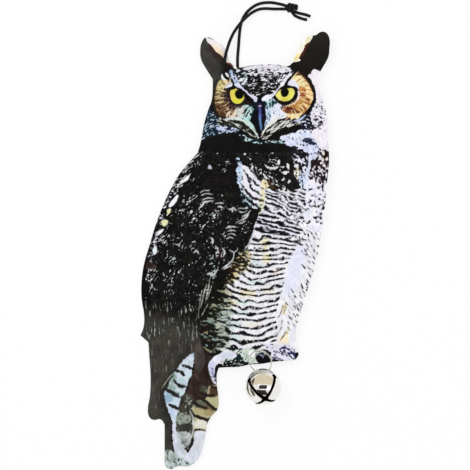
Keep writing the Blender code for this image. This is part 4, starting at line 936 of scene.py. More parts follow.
def paintFeet(pic):
    # feathered foot, dark below
    pic.fur(211, [220, 353, 232, 350, 248, 349, 258, 349, 266, 351, 264, 362, 252, 364, 240, 368, 226, 367,
        218, 362], (3, 0.9), -0.6, 2.9, -40, ((206, 218, 208), (232, 236, 232)),
        ((34, 52, 50), (20, 24, 24)), rough=1)
    pic.fur(212, [223, 362, 232, 360, 240, 361, 248, 362, 248, 366, 238, 368, 226, 367.6], (2.6, 0.9), 1.1,
        2.6, -34, ((140, 162, 158), (190, 204, 200)), ((14, 22, 22), (20, 22, 24)), rough=1)
    pic.area([232, 354.6, 240, 354, 241, 359, 234, 360], 1.2, (130, 170, 170), (18, 36, 40), soft=0.8,
        rough=1.2, mottle=2.4)
    pic.fur(213, [242, 350, 256, 350, 256, 361, 246, 361], (3, 0.8), -0.8, 2.7, -58,
        ((222, 230, 218), (190, 208, 196)), ((70, 86, 78), (40, 54, 50)), soft=1.2, rough=1.2)
    # left toe and claw
    pic.shape([227, 350.6, 233, 352, 237, 355, 234, 358, 227, 358.6, 221.6, 361, 217, 364.6, 215, 368,
        214.8, 372.6, 216.4, 378, 218, 384.4, 214, 383.4, 211, 378, 209, 371.6, 208.4, 365.6, 211, 360,
        217, 355], True, paper=(234, 233, 246), rough=0.5)
    pic.area([209, 364, 214, 362, 214, 370, 216, 378, 211, 376], paper=(208, 208, 240), soft=1.6)
    pic.area([222, 353, 234, 353, 232, 357, 222, 359], paper=(212, 216, 232), soft=1.4)
    for points, wide in (
            ([209.4, 367.6, 212.6, 369, 213.2, 375, 216.6, 383], 1.4),
            ([209.6, 370.6, 211.4, 376, 214.6, 382.6], 0.9)):
        pic.line(points, wide, dark=(32, 34, 92), rough=0.6)
    pic.shape([214.6, 370, 216, 373.6, 217.4, 379, 218.6, 385, 216, 382, 214.6, 376], dark=(22, 20, 44),
        rough=0.3)
    # middle claw behind the ring
    pic.shape([255.6, 357, 258, 353, 262, 352.6, 267, 356, 271.4, 361, 266, 362.8, 258, 362.6],
        dark=(16, 14, 20), rough=0.4)
    pic.line([252.6, 356, 256, 351.6, 261, 350.4, 266, 352.6, 270, 357, 272.6, 361.4], 1.4, True,
        paper=(214, 218, 214), rough=0.5)
    pic.line([257.6, 354.6, 260, 354.4, 263, 356.6, 262.4, 359], 1, True, paper=(140, 150, 190), rough=0.5)
    # right foot: navy claws among pale feather ends
    pic.fur(215, [262, 345, 276, 342, 290, 344, 296, 350, 292, 354, 276, 353, 266, 350], (2.4, 0.9), -1,
        2.7, 12, ((238, 232, 236), (222, 222, 244)), ((60, 54, 90), (36, 32, 50)), soft=0.9, rough=0.9)
    pic.fur(216, [271, 350, 280, 349, 288, 350, 296, 358, 290, 361.6, 276, 360, 271, 358], (2.6, 0.9), -0.8,
        2.9, 34, ((222, 222, 242), (240, 238, 248)), ((34, 34, 80), (24, 22, 40)), soft=0.6, rough=0.8)
    for points, wide, tint in (
            ([279.4, 349.4, 284, 347.6, 289.6, 350, 293.6, 354, 296.4, 359.6], 1.9, (22, 24, 74)),
            ([280, 351.6, 285.6, 352.6, 290, 356, 292.6, 360], 1.1, (30, 32, 84)),
            ([274, 354, 277, 357.6, 282, 359.6], 1.2, (40, 40, 66)),
            ([273, 349.6, 276.6, 351.4], 1.1, (30, 28, 44))):
        pic.line(points, wide, dark=tint, rough=0.5, tips=(0.4, 0.4))


def paintOwl():
    pic = OwlPicture(**sheet)
    pic.dark[:] = inks["wingDark"]
    pic.fur(99, [0, 0, 194, 0, 194, 445, 0, 445], (5, 1.6), 3, 0, 60, None, ((13, 12, 12), (26, 24, 22)))
    # from the rows that lie lowest to those over them
    for paint in (paintWing, paintTail, paintBelly, paintChest, paintNeck, paintEars, paintDiscs,
                  paintFace, paintBrows, paintEyes, paintFeet):
        pic.page()
        paint(pic)
    # the print's own grain over all of it
    pic.ink += 0.35 * pic.grain + 0.2 * pic.fine
    pic.paper *= (1.0 + 0.035 * pic.middle + 0.03 * pic.grain)[..., None]
    pic.dark *= (1.0 + 0.16 * pic.broad + 0.12 * pic.fine)[..., None]
    return pic


print("painting the owl")
owl = paintOwl()


# camera, floor and light

studio = {
    "lens": 220.0,
    "sensor": 36.0,
    "frameWide": 0.4517,  # metres across the picture, at the aim
    "aim": (-0.00005, 0.01494, 0.003),
    "floorLevel": -0.0004,  # metres under the sheet
    "floorColour": (0.97, 0.97, 0.97),
    "floorGlow": 0.80,
    "worldStrength": 0.80,
    # name, place, size and power, all of them aimed at the sheet's middle
    "lamps": (
        ("key_lamp", (-0.9, 1.1, 1.9), 1.2, 12.0),
        ("fill_lamp", (1.3, -0.8, 1.6), 1.4, 5.0),
    ),
    # name, place, aim, width, height and colour of cards around the bell that only reflections see
    "cards": (
        ("zenith_flag", (0.0, -0.08, 3.4), (0.0, -0.09, 0.0), 3.2, 1.4, (0.05, 0.05, 0.05)),
        ("warm_wall", (0.03, 0.73, 0.66), (0.0267, -0.130, 0.0175), 5.0, 1.5, (0.78, 0.70, 0.54)),
        ("dark_flag", (0.03, -1.36, 1.74), (0.0267, -0.130, 0.0175), 3.8, 1.3, (0.03, 0.028, 0.028)),
        ("left_foot", (-1.2, -0.2, 0.27), (-0.2, -0.2, 0.27), 2.6, 0.55, (0.15, 0.12, 0.09)),
    ),
}


def makeCamera():
    camera = bpy.data.cameras.new("camera")
    camera.lens = studio["lens"]
    camera.sensor_width = studio["sensor"]
    far = studio["frameWide"] * studio["lens"] / studio["sensor"]
    camera.clip_end = 20.0
    view = bpy.data.objects.new("camera", camera)
    bpy.context.scene.collection.objects.link(view)
    x, y, z = studio["aim"]
    view.location = (x, y, z + far)
    bpy.context.scene.camera = view


def addNode(tree, kind, **values):
    node = tree.nodes.new(kind)
    for name, value in values.items():
        setattr(node, name, value)
    return node


def newMaterial(name, colour, roughness, metallic=0.0):
    material = bpy.data.materials.new(name)
    material.use_nodes = True
    shader = material.node_tree.nodes["Principled BSDF"]
    shader.inputs["Base Color"].default_value = (*colour, 1.0)
    shader.inputs["Roughness"].default_value = roughness
    shader.inputs["Metallic"].default_value = metallic
    return material, material.node_tree, shader


def mathNode(tree, operation, a, b=None):
    node = addNode(tree, "ShaderNodeMath", operation=operation)
    for i, value in enumerate((a, b)):
        if value is None:
            continue
        if isinstance(value, (int, float)):
            node.inputs[i].default_value = value
        else:
            tree.links.new(value, node.inputs[i])
    return node.outputs[0]


def noiseNode(tree, scale, detail, vector=None):
    noise = addNode(tree, "ShaderNodeTexNoise")
    noise.inputs["Scale"].default_value = scale
    noise.inputs["Detail"].default_value = detail
    if vector is None:
        vector = addNode(tree, "ShaderNodeTexCoord").outputs["Object"]
    tree.links.new(vector, noise.inputs["Vector"])
    return noise.outputs["Fac"]


def rangeNode(tree, value, fromLow, fromHigh, toLow, toHigh, kind="LINEAR"):
    node = addNode(tree, "ShaderNodeMapRange", interpolation_type=kind)
    tree.links.new(value, node.inputs["Value"])
    sockets = ("From Min", "From Max", "To Min", "To Max")
    for socket, number in zip(sockets, (fromLow, fromHigh, toLow, toHigh)):
        node.inputs[socket].default_value = number
    return node.outputs["Result"]


def mixColour(tree, share, a, b):
    node = addNode(tree, "ShaderNodeMix", data_type="RGBA")
    for socket, value in ((node.inputs["Factor"], share), (node.inputs["A"], a), (node.inputs["B"], b)):
        if isinstance(value, (int, float)):
            socket.default_value = value
        elif isinstance(value, tuple):
            socket.default_value = (*value, 1.0)
        else:
            tree.links.new(value, socket)
    return node.outputs["Result"]


def bumpNode(tree, height, strength, distance):
    bump = addNode(tree, "ShaderNodeBump")
    bump.inputs["Strength"].default_value = strength
    bump.inputs["Distance"].default_value = distance
    tree.links.new(height, bump.inputs["Height"])
    return bump.outputs["Normal"]


def dress(tree, shader, colour, roughness, normal):
    for socket, value in (("Base Color", colour), ("Roughness", roughness), ("Normal", normal)):
        tree.links.new(value, shader.inputs[socket])


def newObject(name, bm, material):
    mesh = bpy.data.meshes.new(name)
    bm.to_mesh(mesh)
    bm.free()
    mesh.materials.append(material)
    obj = bpy.data.objects.new(name, mesh)
    bpy.context.scene.collection.objects.link(obj)
    return obj


def seenDirectly(tree):
    # 1 for rays from the camera, a reflection or a clear material, 0 for the light on surfaces
    path = addNode(tree, "ShaderNodeLightPath")
    seen = mathNode(tree, "MAXIMUM", path.outputs["Is Camera Ray"], path.outputs["Is Glossy Ray"])
    return mathNode(tree, "MAXIMUM", seen, path.outputs["Is Transmission Ray"])


def makeFloor():
    # a white table: the camera sees it at full white, and it keeps the shadow
    bm = bmesh.new()
    bmesh.ops.create_grid(bm, x_segments=1, y_segments=1, size=4.0)
    bmesh.ops.translate(bm, vec=(0.0, 0.0, studio["floorLevel"]), verts=bm.verts)
    material, tree, shader = newMaterial("floor_white", studio["floorColour"], 0.9)
    shader.inputs["Specular IOR Level"].default_value = 0.0
    glow = addNode(tree, "ShaderNodeEmission")
    glow.inputs["Strength"].default_value = 1.0
    mix = addNode(tree, "ShaderNodeMixShader")
    tree.links.new(mathNode(tree, "MULTIPLY", seenDirectly(tree), studio["floorGlow"]), mix.inputs[0])
    tree.links.new(shader.outputs[0], mix.inputs[1])
    tree.links.new(glow.outputs[0], mix.inputs[2])
    tree.links.new(mix.outputs[0], tree.nodes["Material Output"].inputs["Surface"])
    floor = newObject("floor", bm, material)


def makeWorld():
    world = bpy.data.worlds.new("studio")
    world.use_nodes = True
    tree = world.node_tree
    back = tree.nodes["Background"]
    back.inputs["Color"].default_value = (1.0, 1.0, 1.0, 1.0)
    strength = rangeNode(tree, seenDirectly(tree), 0.0, 1.0, studio["worldStrength"], 1.0)
    tree.links.new(strength, back.inputs["Strength"])
    bpy.context.scene.world = world


def makeLamp(name, place, size, power):
    lamp = bpy.data.lights.new(name, "AREA")
    lamp.shape = "SQUARE"
    lamp.size = size
    lamp.energy = power
    obj = bpy.data.objects.new(name, lamp)
    obj.location = place
    obj.rotation_euler = (-Vector(place)).to_track_quat("-Z", "Y").to_euler()
    bpy.context.scene.collection.objects.link(obj)


def makeCard(name, place, aim, wide, tall, colour):
    # a card that only reflections see, as the studio's flags and walls around the bell
    bm = bmesh.new()
    bmesh.ops.create_grid(bm, x_segments=1, y_segments=1, size=0.5)
    bmesh.ops.scale(bm, vec=(wide, tall, 1.0), verts=bm.verts)
    turn = (Vector(aim) - Vector(place)).to_track_quat("Z", "Y").to_matrix().to_4x4()
    bmesh.ops.transform(bm, matrix=Matrix.Translation(place) @ turn, verts=bm.verts)
    material = bpy.data.materials.new(name)
    material.use_nodes = True
    tree = material.node_tree
    glow = addNode(tree, "ShaderNodeEmission")
    glow.inputs["Color"].default_value = (*colour, 1.0)
    tree.links.new(glow.outputs[0], tree.nodes["Material Output"].inputs["Surface"])
    card = newObject(name, bm, material)
    card.visible_camera = False
    card.visible_diffuse = False
    card.visible_shadow = False
    card.visible_transmission = False


def makeStudio():
    makeCamera()
    makeFloor()
    makeWorld()
    for row in studio["lamps"]:
        makeLamp(*row)
    for row in studio["cards"]:
        makeCard(*row)
    print("studio ready")


makeStudio()


# shared mesh tools


def finishPiece(name, bm, material, body, replaced, smooth=True):
    piece = newObject(name, bm, material)
    if smooth:
        piece.data.shade_smooth()
    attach(piece, body)
    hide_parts(*replaced)
    return piece


def onlyKind(geom, kind):
    return [g for g in geom if isinstance(g, kind)]


def evenRoute(points, spacing):
    # a rounded route, with its points the same distance apart
    fine = smoothLine(points, 24)
    gone = np.concatenate([[0.0], np.cumsum(np.linalg.norm(np.diff(fine, axis=0), axis=1))])
    count = max(2, int(round(gone[-1] / spacing)))
    want = np.linspace(0.0, gone[-1], count + 1)
    route = np.stack([np.interp(want, gone, fine[:, k]) for k in range(3)], 1)
    for _ in range(3):
        route[1:-1] = 0.25 * route[:-2] + 0.5 * route[1:-1] + 0.25 * route[2:]
    return route


def tubeAlong(route, diameter, around, closed=False):
    # a round wire or cord: a circle extruded from point to point, square to the route,
    # with its own UV map: turns around, and millimetres along
    points = [Vector(p) for p in route]
    if closed:
        points.append(points[0].copy())
    count = len(points)
    bm = bmesh.new()
    turnOf = bm.verts.layers.float.new("turn")
    alongOf = bm.verts.layers.float.new("gone")
    uv = bm.loops.layers.uv.new("along")
    side = None
    matrices = []
    for i, point in enumerate(points):
        before = points[-2] if closed and i == 0 else points[max(i - 1, 0)]
        after = points[1] if closed and i == count - 1 else points[min(i + 1, count - 1)]
        way = (after - before).normalized()
        side = way.orthogonal().normalized() if side is None else (side - side.dot(way) * way).normalized()
        turn = Matrix((side, way.cross(side), way)).transposed().to_4x4()
        matrices.append(Matrix.Translation(point) @ turn)
    circle = bmesh.ops.create_circle(bm, segments=around, radius=diameter / 2)["verts"]
    for v in circle:
        v[turnOf] = math.atan2(v.co.y, v.co.x) / math.tau % 1.0
    bmesh.ops.transform(bm, matrix=matrices[0], verts=circle)
    edges = list(bm.edges)
    if not closed:
        bmesh.ops.holes_fill(bm, edges=edges, sides=around)
    far = 0.0
    for i in range(1, count):
        far += (points[i] - points[i - 1]).length
        grown = bmesh.ops.extrude_edge_only(bm, edges=edges)["geom"]
        circle = onlyKind(grown, bmesh.types.BMVert)
        edges = onlyKind(grown, bmesh.types.BMEdge)
        edges = [e for e in edges if e.verts[0] in circle and e.verts[1] in circle]
        bmesh.ops.transform(bm, matrix=matrices[i] @ matrices[i - 1].inverted(), verts=circle)
        for v in circle:
            v[alongOf] = far * 1000.0
    if closed:
        bmesh.ops.remove_doubles(bm, verts=bm.verts, dist=diameter * 0.02)
    else:
        bmesh.ops.holes_fill(bm, edges=edges, sides=around)
    bmesh.ops.recalc_face_normals(bm, faces=bm.faces)
    for face in bm.faces:
        turns = [loop.vert[turnOf] for loop in face.loops]
        high = max(turns)
        for loop, turn in zip(face.loops, turns):
            loop[uv].uv = (turn + (1.0 if high - turn > 0.5 else 0.0), loop.vert[alongOf])
    return bm


# hanging cord

cord = {
    "diameter": 0.0030,
    "holeMiddle": (-0.009643, 0.16716),
    "knotMiddle": (0.0637, 0.0658),
    "knotBearing": -12.0,  # degrees
    "knotLong": 0.0112,
    "knotWide": 0.0098,
    "knotHigh": 0.0068,
    "knotTurns": 2.75,
    "knotStart": 200.0,  # degrees round the knot
    "knotSlant": 0.0011,
    "knotPoints": 84,
    "frontLength": 0.1300,
    "rearLength": 0.143,
    "around": 24,
    "spacing": 0.0011,
    "plaits": 8,
    "plaitLong": 1.9,  # millimetres along the cord
    # painted shade: the braid's colour in the valleys between the plaits, and on their crowns
    "valleyShade": (0.002, 0.002, 0.0025),
    "crown": (0.008, 0.008, 0.009),
    "fibre": 5200.0,  # as all scales of grain here, its cells in a metre
    "gloss": (0.5, 0.75),  # from the smoothest grain to the roughest
    "relief": (0.8, 0.00035),  # share and depth in metres
}
# metres from the hole's middle, and up from the surface, as in the part's own source
frontRoute = (
    (0.0, 0.0, 0.0042), (-0.0012, 0.0023, 0.0062), (-0.0017, 0.0053, 0.0070), (-0.0013, 0.0108, 0.0071),
    (0.0000, 0.0184, 0.0071), (0.0022, 0.0266, 0.0071), (0.0050, 0.0349, 0.0069), (0.0088, 0.0427, 0.0064),
    (0.0138, 0.0498, 0.0057), (0.0187, 0.0554, 0.0050), (0.0259, 0.0614, 0.0037), (0.0326, 0.0647, 0.0025),
    (0.0397, 0.0655, 0.0018), (0.0463, 0.0651, 0.0016), (0.0580, 0.0650, 0.0018), (0.0637, 0.0642, 0.0026),
    (0.0687, 0.0617, 0.0019), (0.0740, 0.0604, 0.0016), (0.0785, 0.0593, 0.0016), (0.0822, 0.0578, 0.0016),
)
rearRoute = (
    (0.0, 0.0, 0.0042), (0.0019, -0.0017, 0.0022), (0.0045, -0.0024, 0.0016), (0.0070, -0.0021, 0.0016),
    (0.0095, -0.0006, 0.0016), (0.0112, 0.0015, 0.0016), (0.0120, 0.0045, 0.0016), (0.0121, 0.0084, 0.0016),
    (0.0121, 0.0184, 0.0016), (0.0130, 0.0294, 0.0016), (0.0138, 0.0404, 0.0016), (0.0149, 0.0487, 0.0016),
    (0.0171, 0.0558, 0.0016), (0.0215, 0.0625, 0.0016), (0.0282, 0.0680, 0.0016), (0.0354, 0.0707, 0.0016),
    (0.0436, 0.0713, 0.0016), (0.0500, 0.0704, 0.0016), (0.0578, 0.0684, 0.0018), (0.0628, 0.0650, 0.0030),
    (0.0665, 0.0592, 0.0017), (0.0695, 0.0575, 0.0016), (0.0740, 0.0557, 0.0016), (0.0790, 0.0546, 0.0016),
)


def cordMaterial():
    # black braided elastic: two families of plaits, a little greyer on their crowns and darker in the
    # valleys between them, as painted shade
    material, tree, shader = newMaterial("cord_braid", (0.012, 0.012, 0.013), 0.62)
    place = addNode(tree, "ShaderNodeUVMap", uv_map="along")
    parts = addNode(tree, "ShaderNodeSeparateXYZ")
    tree.links.new(place.outputs["UV"], parts.inputs[0])
    u = mathNode(tree, "MULTIPLY", parts.outputs[0], math.pi * cord["plaits"])
    v = mathNode(tree, "MULTIPLY", parts.outputs[1], math.pi / cord["plaitLong"])
    left = mathNode(tree, "ABSOLUTE", mathNode(tree, "SINE", mathNode(tree, "ADD", u, v)))
    right = mathNode(tree, "ABSOLUTE", mathNode(tree, "SINE", mathNode(tree, "SUBTRACT", u, v)))
    over = mathNode(tree, "MAXIMUM", left, right)
    fibre = noiseNode(tree, cord["fibre"], 2.0)
    height = mathNode(tree, "ADD", over, mathNode(tree, "MULTIPLY", fibre, 0.35))
    # painted shade: darker from the plaits' crowns down into the valleys
    colour = mixColour(tree, rangeNode(tree, over, 0.55, 1.0, 0.0, 1.0), cord["valleyShade"], cord["crown"])
    roughness = rangeNode(tree, fibre, 0.3, 0.7, *cord["gloss"])
    dress(tree, shader, colour, roughness, bumpNode(tree, height, *cord["relief"]))
    shader.inputs["Specular IOR Level"].default_value = 0.22
    return material


def fromHole(points):
    x, y = cord["holeMiddle"]
    return [(x + p[0], y + p[1], p[2]) for p in points]


def knotRoute():
    # the cord's own turns round the two strands, drawn tight: a coil with one turn slanting across
    x, y = fromHole([(*cord["knotMiddle"], 0.0)])[0][:2]
    bearing = math.radians(cord["knotBearing"])
    along = Vector((math.cos(bearing), math.sin(bearing), 0.0))
    side = Vector((-math.sin(bearing), math.cos(bearing), 0.0))
    half = cord["diameter"] / 2
    reachSide = cord["knotWide"] / 2 - half
    reachUp = cord["knotHigh"] / 2 - half
    reachAlong = cord["knotLong"] / 2 - half
    middle = Vector((x, y, cord["knotHigh"] / 2))
    up = Vector((0.0, 0.0, 1.0))
    points = []
    for i in range(cord["knotPoints"] + 1):
        t = 2.0 * i / cord["knotPoints"] - 1.0
        turn = math.tau * cord["knotTurns"] * (t + 1.0) / 2 + math.radians(cord["knotStart"])
        slide = t * reachAlong + cord["knotSlant"] * math.sin(turn + 0.6)
        # both ends of the coil tuck in under its turns
        shrink = 1.0 - 0.45 * max(0.0, abs(t) - 0.86) / 0.14
        across = side * reachSide * math.cos(turn) + up * reachUp * math.sin(turn)
        points.append(middle + along * slide + across * shrink)
    return points


def cordPiece(name, route, material, replaced):
    tube = tubeAlong(route, cord["diameter"], cord["around"])
    return finishPiece(name, tube, material, "cord", replaced)


def makeCord():
    braid = cordMaterial()
    knot = cordPiece("knot_turns", knotRoute(), braid, ["cord_knot"])
    strands = (
        ("cord_front_strand", frontRoute, ["hanging_cord", "cord_end_front"], cord["frontLength"], [knot]),
        ("cord_rear_strand", rearRoute, ["cord_end_back"], cord["rearLength"], []),
    )
    for name, points, replaced, long, extra in strands:
        route = evenRoute(fromHole(points), cord["spacing"])
        piece = cordPiece(name, route, braid, replaced)
    print("cord ready")


makeCord()


# printed board

board = {
    "leftEdge": -0.09094,  # the sheet lies on this edge
    "roll": 2.4086,  # degrees that it rises from there
    "thick": 0.0015,
    "film": 0.0001,
    # the print's squares, across and up, which are smaller above the start of the head
    "cellAcross": 0.00068,
    "cellHead": 0.00050,
    "cellBody": 0.00078,
    "headStart": 0.075,
    "backCell": 0.0013,
    "skirt": 0.00004,  # how far the visible film's edge reaches past the solid film's thickness
    "fibre": 1500.0,
    "fray": 0.9,  # how far the fibre moves an ink's edge, and how soft that edge is, in picture units
    "blur": 0.55,
    "haze": 60.0,
    "gloss": (0.10, 0.16),
    "peel": 900.0,
    "relief": (0.12, 0.00004),
    "coreGrain": 400.0,
    "coreTones": ((0.60, 0.60, 0.58), (0.86, 0.86, 0.84)),
    "coreGloss": (0.42, 0.62),
    "coreRelief": (0.4, 0.0001),
    "cutLines": (300.0, 300.0, 6000.0),
}
roll = math.radians(board["roll"])
boardAcross = np.array((math.cos(roll), 0.0, math.sin(roll)))
boardUp = np.array((-math.sin(roll), 0.0, math.cos(roll)))
boardCorner = np.array((board["leftEdge"], 0.0, 0.0))


def boardLoops(node, height):
    # the closed edge lines of a film's flat face, measured on its own CAD node
    bm = bmesh.new()
    bm.from_mesh(node.data)
    bmesh.ops.remove_doubles(bm, verts=bm.verts, dist=1e-6)
    level = {}
    for v in bm.verts:
        p = np.array(v.co) - boardCorner
        level[v] = (float(p @ boardAcross), float(p[1]), float(p @ boardUp))
    rim = []
    for e in bm.edges:
        if len(e.link_faces) != 2:
            continue
        flat = [f for f in e.link_faces if all(abs(level[v][2] - height) < 2e-5 for v in f.verts)]
        if len(flat) == 1:
            rim.append(e)
    loops = []
    left = set(rim)
    while left:
        e = left.pop()
        start, v = e.verts
        loop = [level[start][:2], level[v][:2]]
        while v is not start:
            e = next(x for x in v.link_edges if x in left)
            left.discard(e)
            v = e.other_vert(v)
            if v is not start:
                loop.append(level[v][:2])
        loops.append(np.array(loop))
    bm.free()
    return loops


def insideLoops(loops, p):
    inside = np.zeros(len(p), bool)
    for loop in loops:
        for a, b in zip(loop, np.roll(loop, -1, 0)):
            if a[1] == b[1]:
                continue
            crosses = (a[1] > p[:, 1]) != (b[1] > p[:, 1])
            inside ^= crosses & (p[:, 0] < a[0] + (p[:, 1] - a[1]) * (b[0] - a[0]) / (b[1] - a[1]))
    return inside


def nearestOnLoops(loops, x, y):
    best = None
    for a, b in loops:
        d = b - a
        long = (d * d).sum(1)
        t = ((x - a[:, 0]) * d[:, 0] + (y - a[:, 1]) * d[:, 1]) / np.maximum(long, 1e-18)
        t = np.clip(t, 0.0, 1.0)
        qx = a[:, 0] + t * d[:, 0]
        qy = a[:, 1] + t * d[:, 1]
        far = (qx - x) ** 2 + (qy - y) ** 2
        k = int(far.argmin())
        if best is None or far[k] < best[0]:
            best = (far[k], qx[k], qy[k])
    return best[1], best[2]


def samplePicture(layer, px, py):
    # between the picture's own samples
    x = np.clip((px - owl.left) * owl.step - 0.5, 0, owl.across - 1.001)
    y = np.clip((py - owl.top) * owl.step - 0.5, 0, owl.down - 1.001)
    xi = x.astype(int)
    yi = y.astype(int)
    fx = x - xi
    fy = y - yi
    if layer.ndim == 3:
        fx = fx[:, None]
        fy = fy[:, None]
    upper = layer[yi, xi] * (1 - fx) + layer[yi, xi + 1] * fx
    lower = layer[yi + 1, xi] * (1 - fx) + layer[yi + 1, xi + 1] * fx
    return upper * (1 - fy) + lower * fy


def linearColour(colour):
    c = np.clip(colour / 255.0, 0.0, 1.0)
    return np.where(c <= 0.04045, c / 12.92, ((c + 0.055) / 1.055) ** 2.4)


def makePrint(name, node, height, lower, cells, material):
    # the printed film: a fine grid on its flat face, its rim pulled onto the die-cut line
    cellAcross, cellHead, cellBody = cells
    loops = boardLoops(nodes[node], height)
    every = np.concatenate(loops)
    lowX, lowY = every.min(0)
    highX, highY = every.max(0)
    split = board["headStart"]
    columns = int((highX - lowX) / cellAcross) + 1
    bodyRows = int((split - lowY) / cellBody) + 1
    headRows = int((highY - split) / cellHead) + 1
    bm = bmesh.new()
    bmesh.ops.create_grid(bm, x_segments=columns, y_segments=bodyRows + headRows, size=0.5)
    rows = bodyRows + headRows
    for v in bm.verts:
        row = (v.co.y + 0.5) * rows
        v.co.x = lowX + (v.co.x + 0.5) * (highX - lowX)
        if row <= bodyRows:
            v.co.y = lowY + (split - lowY) * row / bodyRows
        else:
            v.co.y = split + (highY - split) * (row - bodyRows) / headRows
    centres = np.array([f.calc_center_median()[:2] for f in bm.faces])
    inside = insideLoops(loops, centres)
    outside = [f for f, kept in zip(bm.faces, inside) if not kept]
    bmesh.ops.delete(bm, geom=outside, context="FACES")
    segments = [(loop, np.roll(loop, -1, 0)) for loop in loops]
    edge = [e for e in bm.edges if e.is_boundary]
    for v in {v for e in edge for v in e.verts}:
        v.co.x, v.co.y = nearestOnLoops(segments, v.co.x, v.co.y)
    if lower > height:
        bmesh.ops.reverse_faces(bm, faces=bm.faces)
    skirt = bmesh.ops.extrude_edge_only(bm, edges=edge)["geom"]
    skirt = set(onlyKind(skirt, bmesh.types.BMVert))
    for v in bm.verts:
        level = lower if v in skirt else height
        place = boardCorner + v.co.x * boardAcross + level * boardUp
        v.co = (place[0], v.co.y, place[2])
    piece = finishPiece(name, bm, material, "board", [node], smooth=False)
    mesh = piece.data
    co = np.zeros(len(mesh.vertices) * 3)
    mesh.vertices.foreach_get("co", co)
    co = co.reshape(-1, 3)
    px = pictureMiddle[0] + co[:, 0] / pictureUnit
    py = pictureMiddle[1] - co[:, 1] / pictureUnit
    ink = mesh.attributes.new("ink", "FLOAT", "POINT")
    ink.data.foreach_set("value", samplePicture(owl.ink, px, py).astype(np.float32))
    for attribute, layer in (("paper", owl.paper), ("dark", owl.dark)):
        colour = np.ones((len(px), 4), np.float32)
        colour[:, :3] = linearColour(samplePicture(layer, px, py))
        data = mesh.attributes.new(attribute, "FLOAT_COLOR", "POINT")
        data.data.foreach_set("color", colour.ravel())
    print(name, "has", len(mesh.polygons), "faces")
    return piece


def attributeNode(tree, name):
    return addNode(tree, "ShaderNodeAttribute", attribute_type="GEOMETRY", attribute_name=name)


def printMaterial():
    # offset print on glossy plastic film
    material, tree, shader = newMaterial("owl_print", (0.5, 0.5, 0.5), 0.3)
    ink = attributeNode(tree, "ink").outputs["Fac"]
    paper = attributeNode(tree, "paper").outputs["Color"]
    dark = attributeNode(tree, "dark").outputs["Color"]
    fibre = noiseNode(tree, board["fibre"], 2.0)
    frayed = mathNode(tree, "MULTIPLY", mathNode(tree, "SUBTRACT", fibre, 0.5), board["fray"])
    edge = mathNode(tree, "ADD", ink, frayed)
    share = rangeNode(tree, edge, -board["blur"], board["blur"], 0.0, 1.0, "SMOOTHSTEP")
    colour = mixColour(tree, share, paper, dark)
    roughness = rangeNode(tree, noiseNode(tree, board["haze"], 3.0), 0.3, 0.7, *board["gloss"])
    peel = noiseNode(tree, board["peel"], 2.0)
    dress(tree, shader, colour, roughness, bumpNode(tree, peel, *board["relief"]))
    shader.inputs["Specular IOR Level"].default_value = 0.4
    return material


def coreMaterial():
    # white plastic core, seen only at its die-cut edge
    material, tree, shader = newMaterial("board_core", (0.78, 0.78, 0.76), 0.5)
    colour = mixColour(tree, noiseNode(tree, board["coreGrain"], 3.0), *board["coreTones"])
    stretched = addNode(tree, "ShaderNodeMapping")
    stretched.inputs["Scale"].default_value = board["cutLines"]
    place = addNode(tree, "ShaderNodeTexCoord")
    tree.links.new(place.outputs["Object"], stretched.inputs["Vector"])
    cut = noiseNode(tree, 1.0, 2.0, vector=stretched.outputs["Vector"])
    roughness = rangeNode(tree, cut, 0.3, 0.7, *board["coreGloss"])
    dress(tree, shader, colour, roughness, bumpNode(tree, cut, *board["coreRelief"]))
    return material


def makeBoard():
    material = printMaterial()
    thick = board["thick"]
    film = board["film"] + board["skirt"]
    fine = (board["cellAcross"], board["cellHead"], board["cellBody"])
    coarse = (board["backCell"],) * 3
    makePrint("owl_front", "front_print", thick, thick - film, fine, material)
    makePrint("owl_back", "back_print", 0.0, film, coarse, material)
    core = nodes["core_board"]
    plastic = coreMaterial()
    for place in core.material_slots:
        place.material = plastic
    print("board ready")


makeBoard()


# ring and bell

bell = {
    "middle": (0.02673, -0.13004, 0.0175),
    "crownWay": (-0.10778, 0.63056, -0.76862),
    "swingWay": (-0.98268, -0.18478, -0.01379),
    "radius": 0.0175,
    "wall": 0.0006,
    "slotHalf": 0.0012,
    "petalTip": 0.0027,  # radius of a petal's corner
    "slotEnd": 0.0023,  # radius of the round holes that end the slots
    "slotDrop": 0.0015,  # how far under the shell's middle they lie
    "slotTurn": 47.0,  # degrees from the shell's own x
    "crownHole": 0.00145,
    "cuts": 63,  # lines across each side of the cube that the shell is blown up from
    "rimSteps": 6,
    "nickel": (0.88, 0.86, 0.82),
    "gloss": 0.05,
    # painted shade: the near black of the shell's inside, seen through the slots
    "hollow": (0.020, 0.014, 0.010),
}
ring = {"wire": 0.0011, "around": 20, "points": 160, "steel": (0.76, 0.75, 0.73), "gloss": 0.16}
ball = {"across": 40, "down": 28, "steel": (0.10, 0.095, 0.09), "gloss": 0.4}
plating = {"smudge": 90.0, "speck": 1400.0, "tarnish": 0.93, "grainDeep": 0.00003}


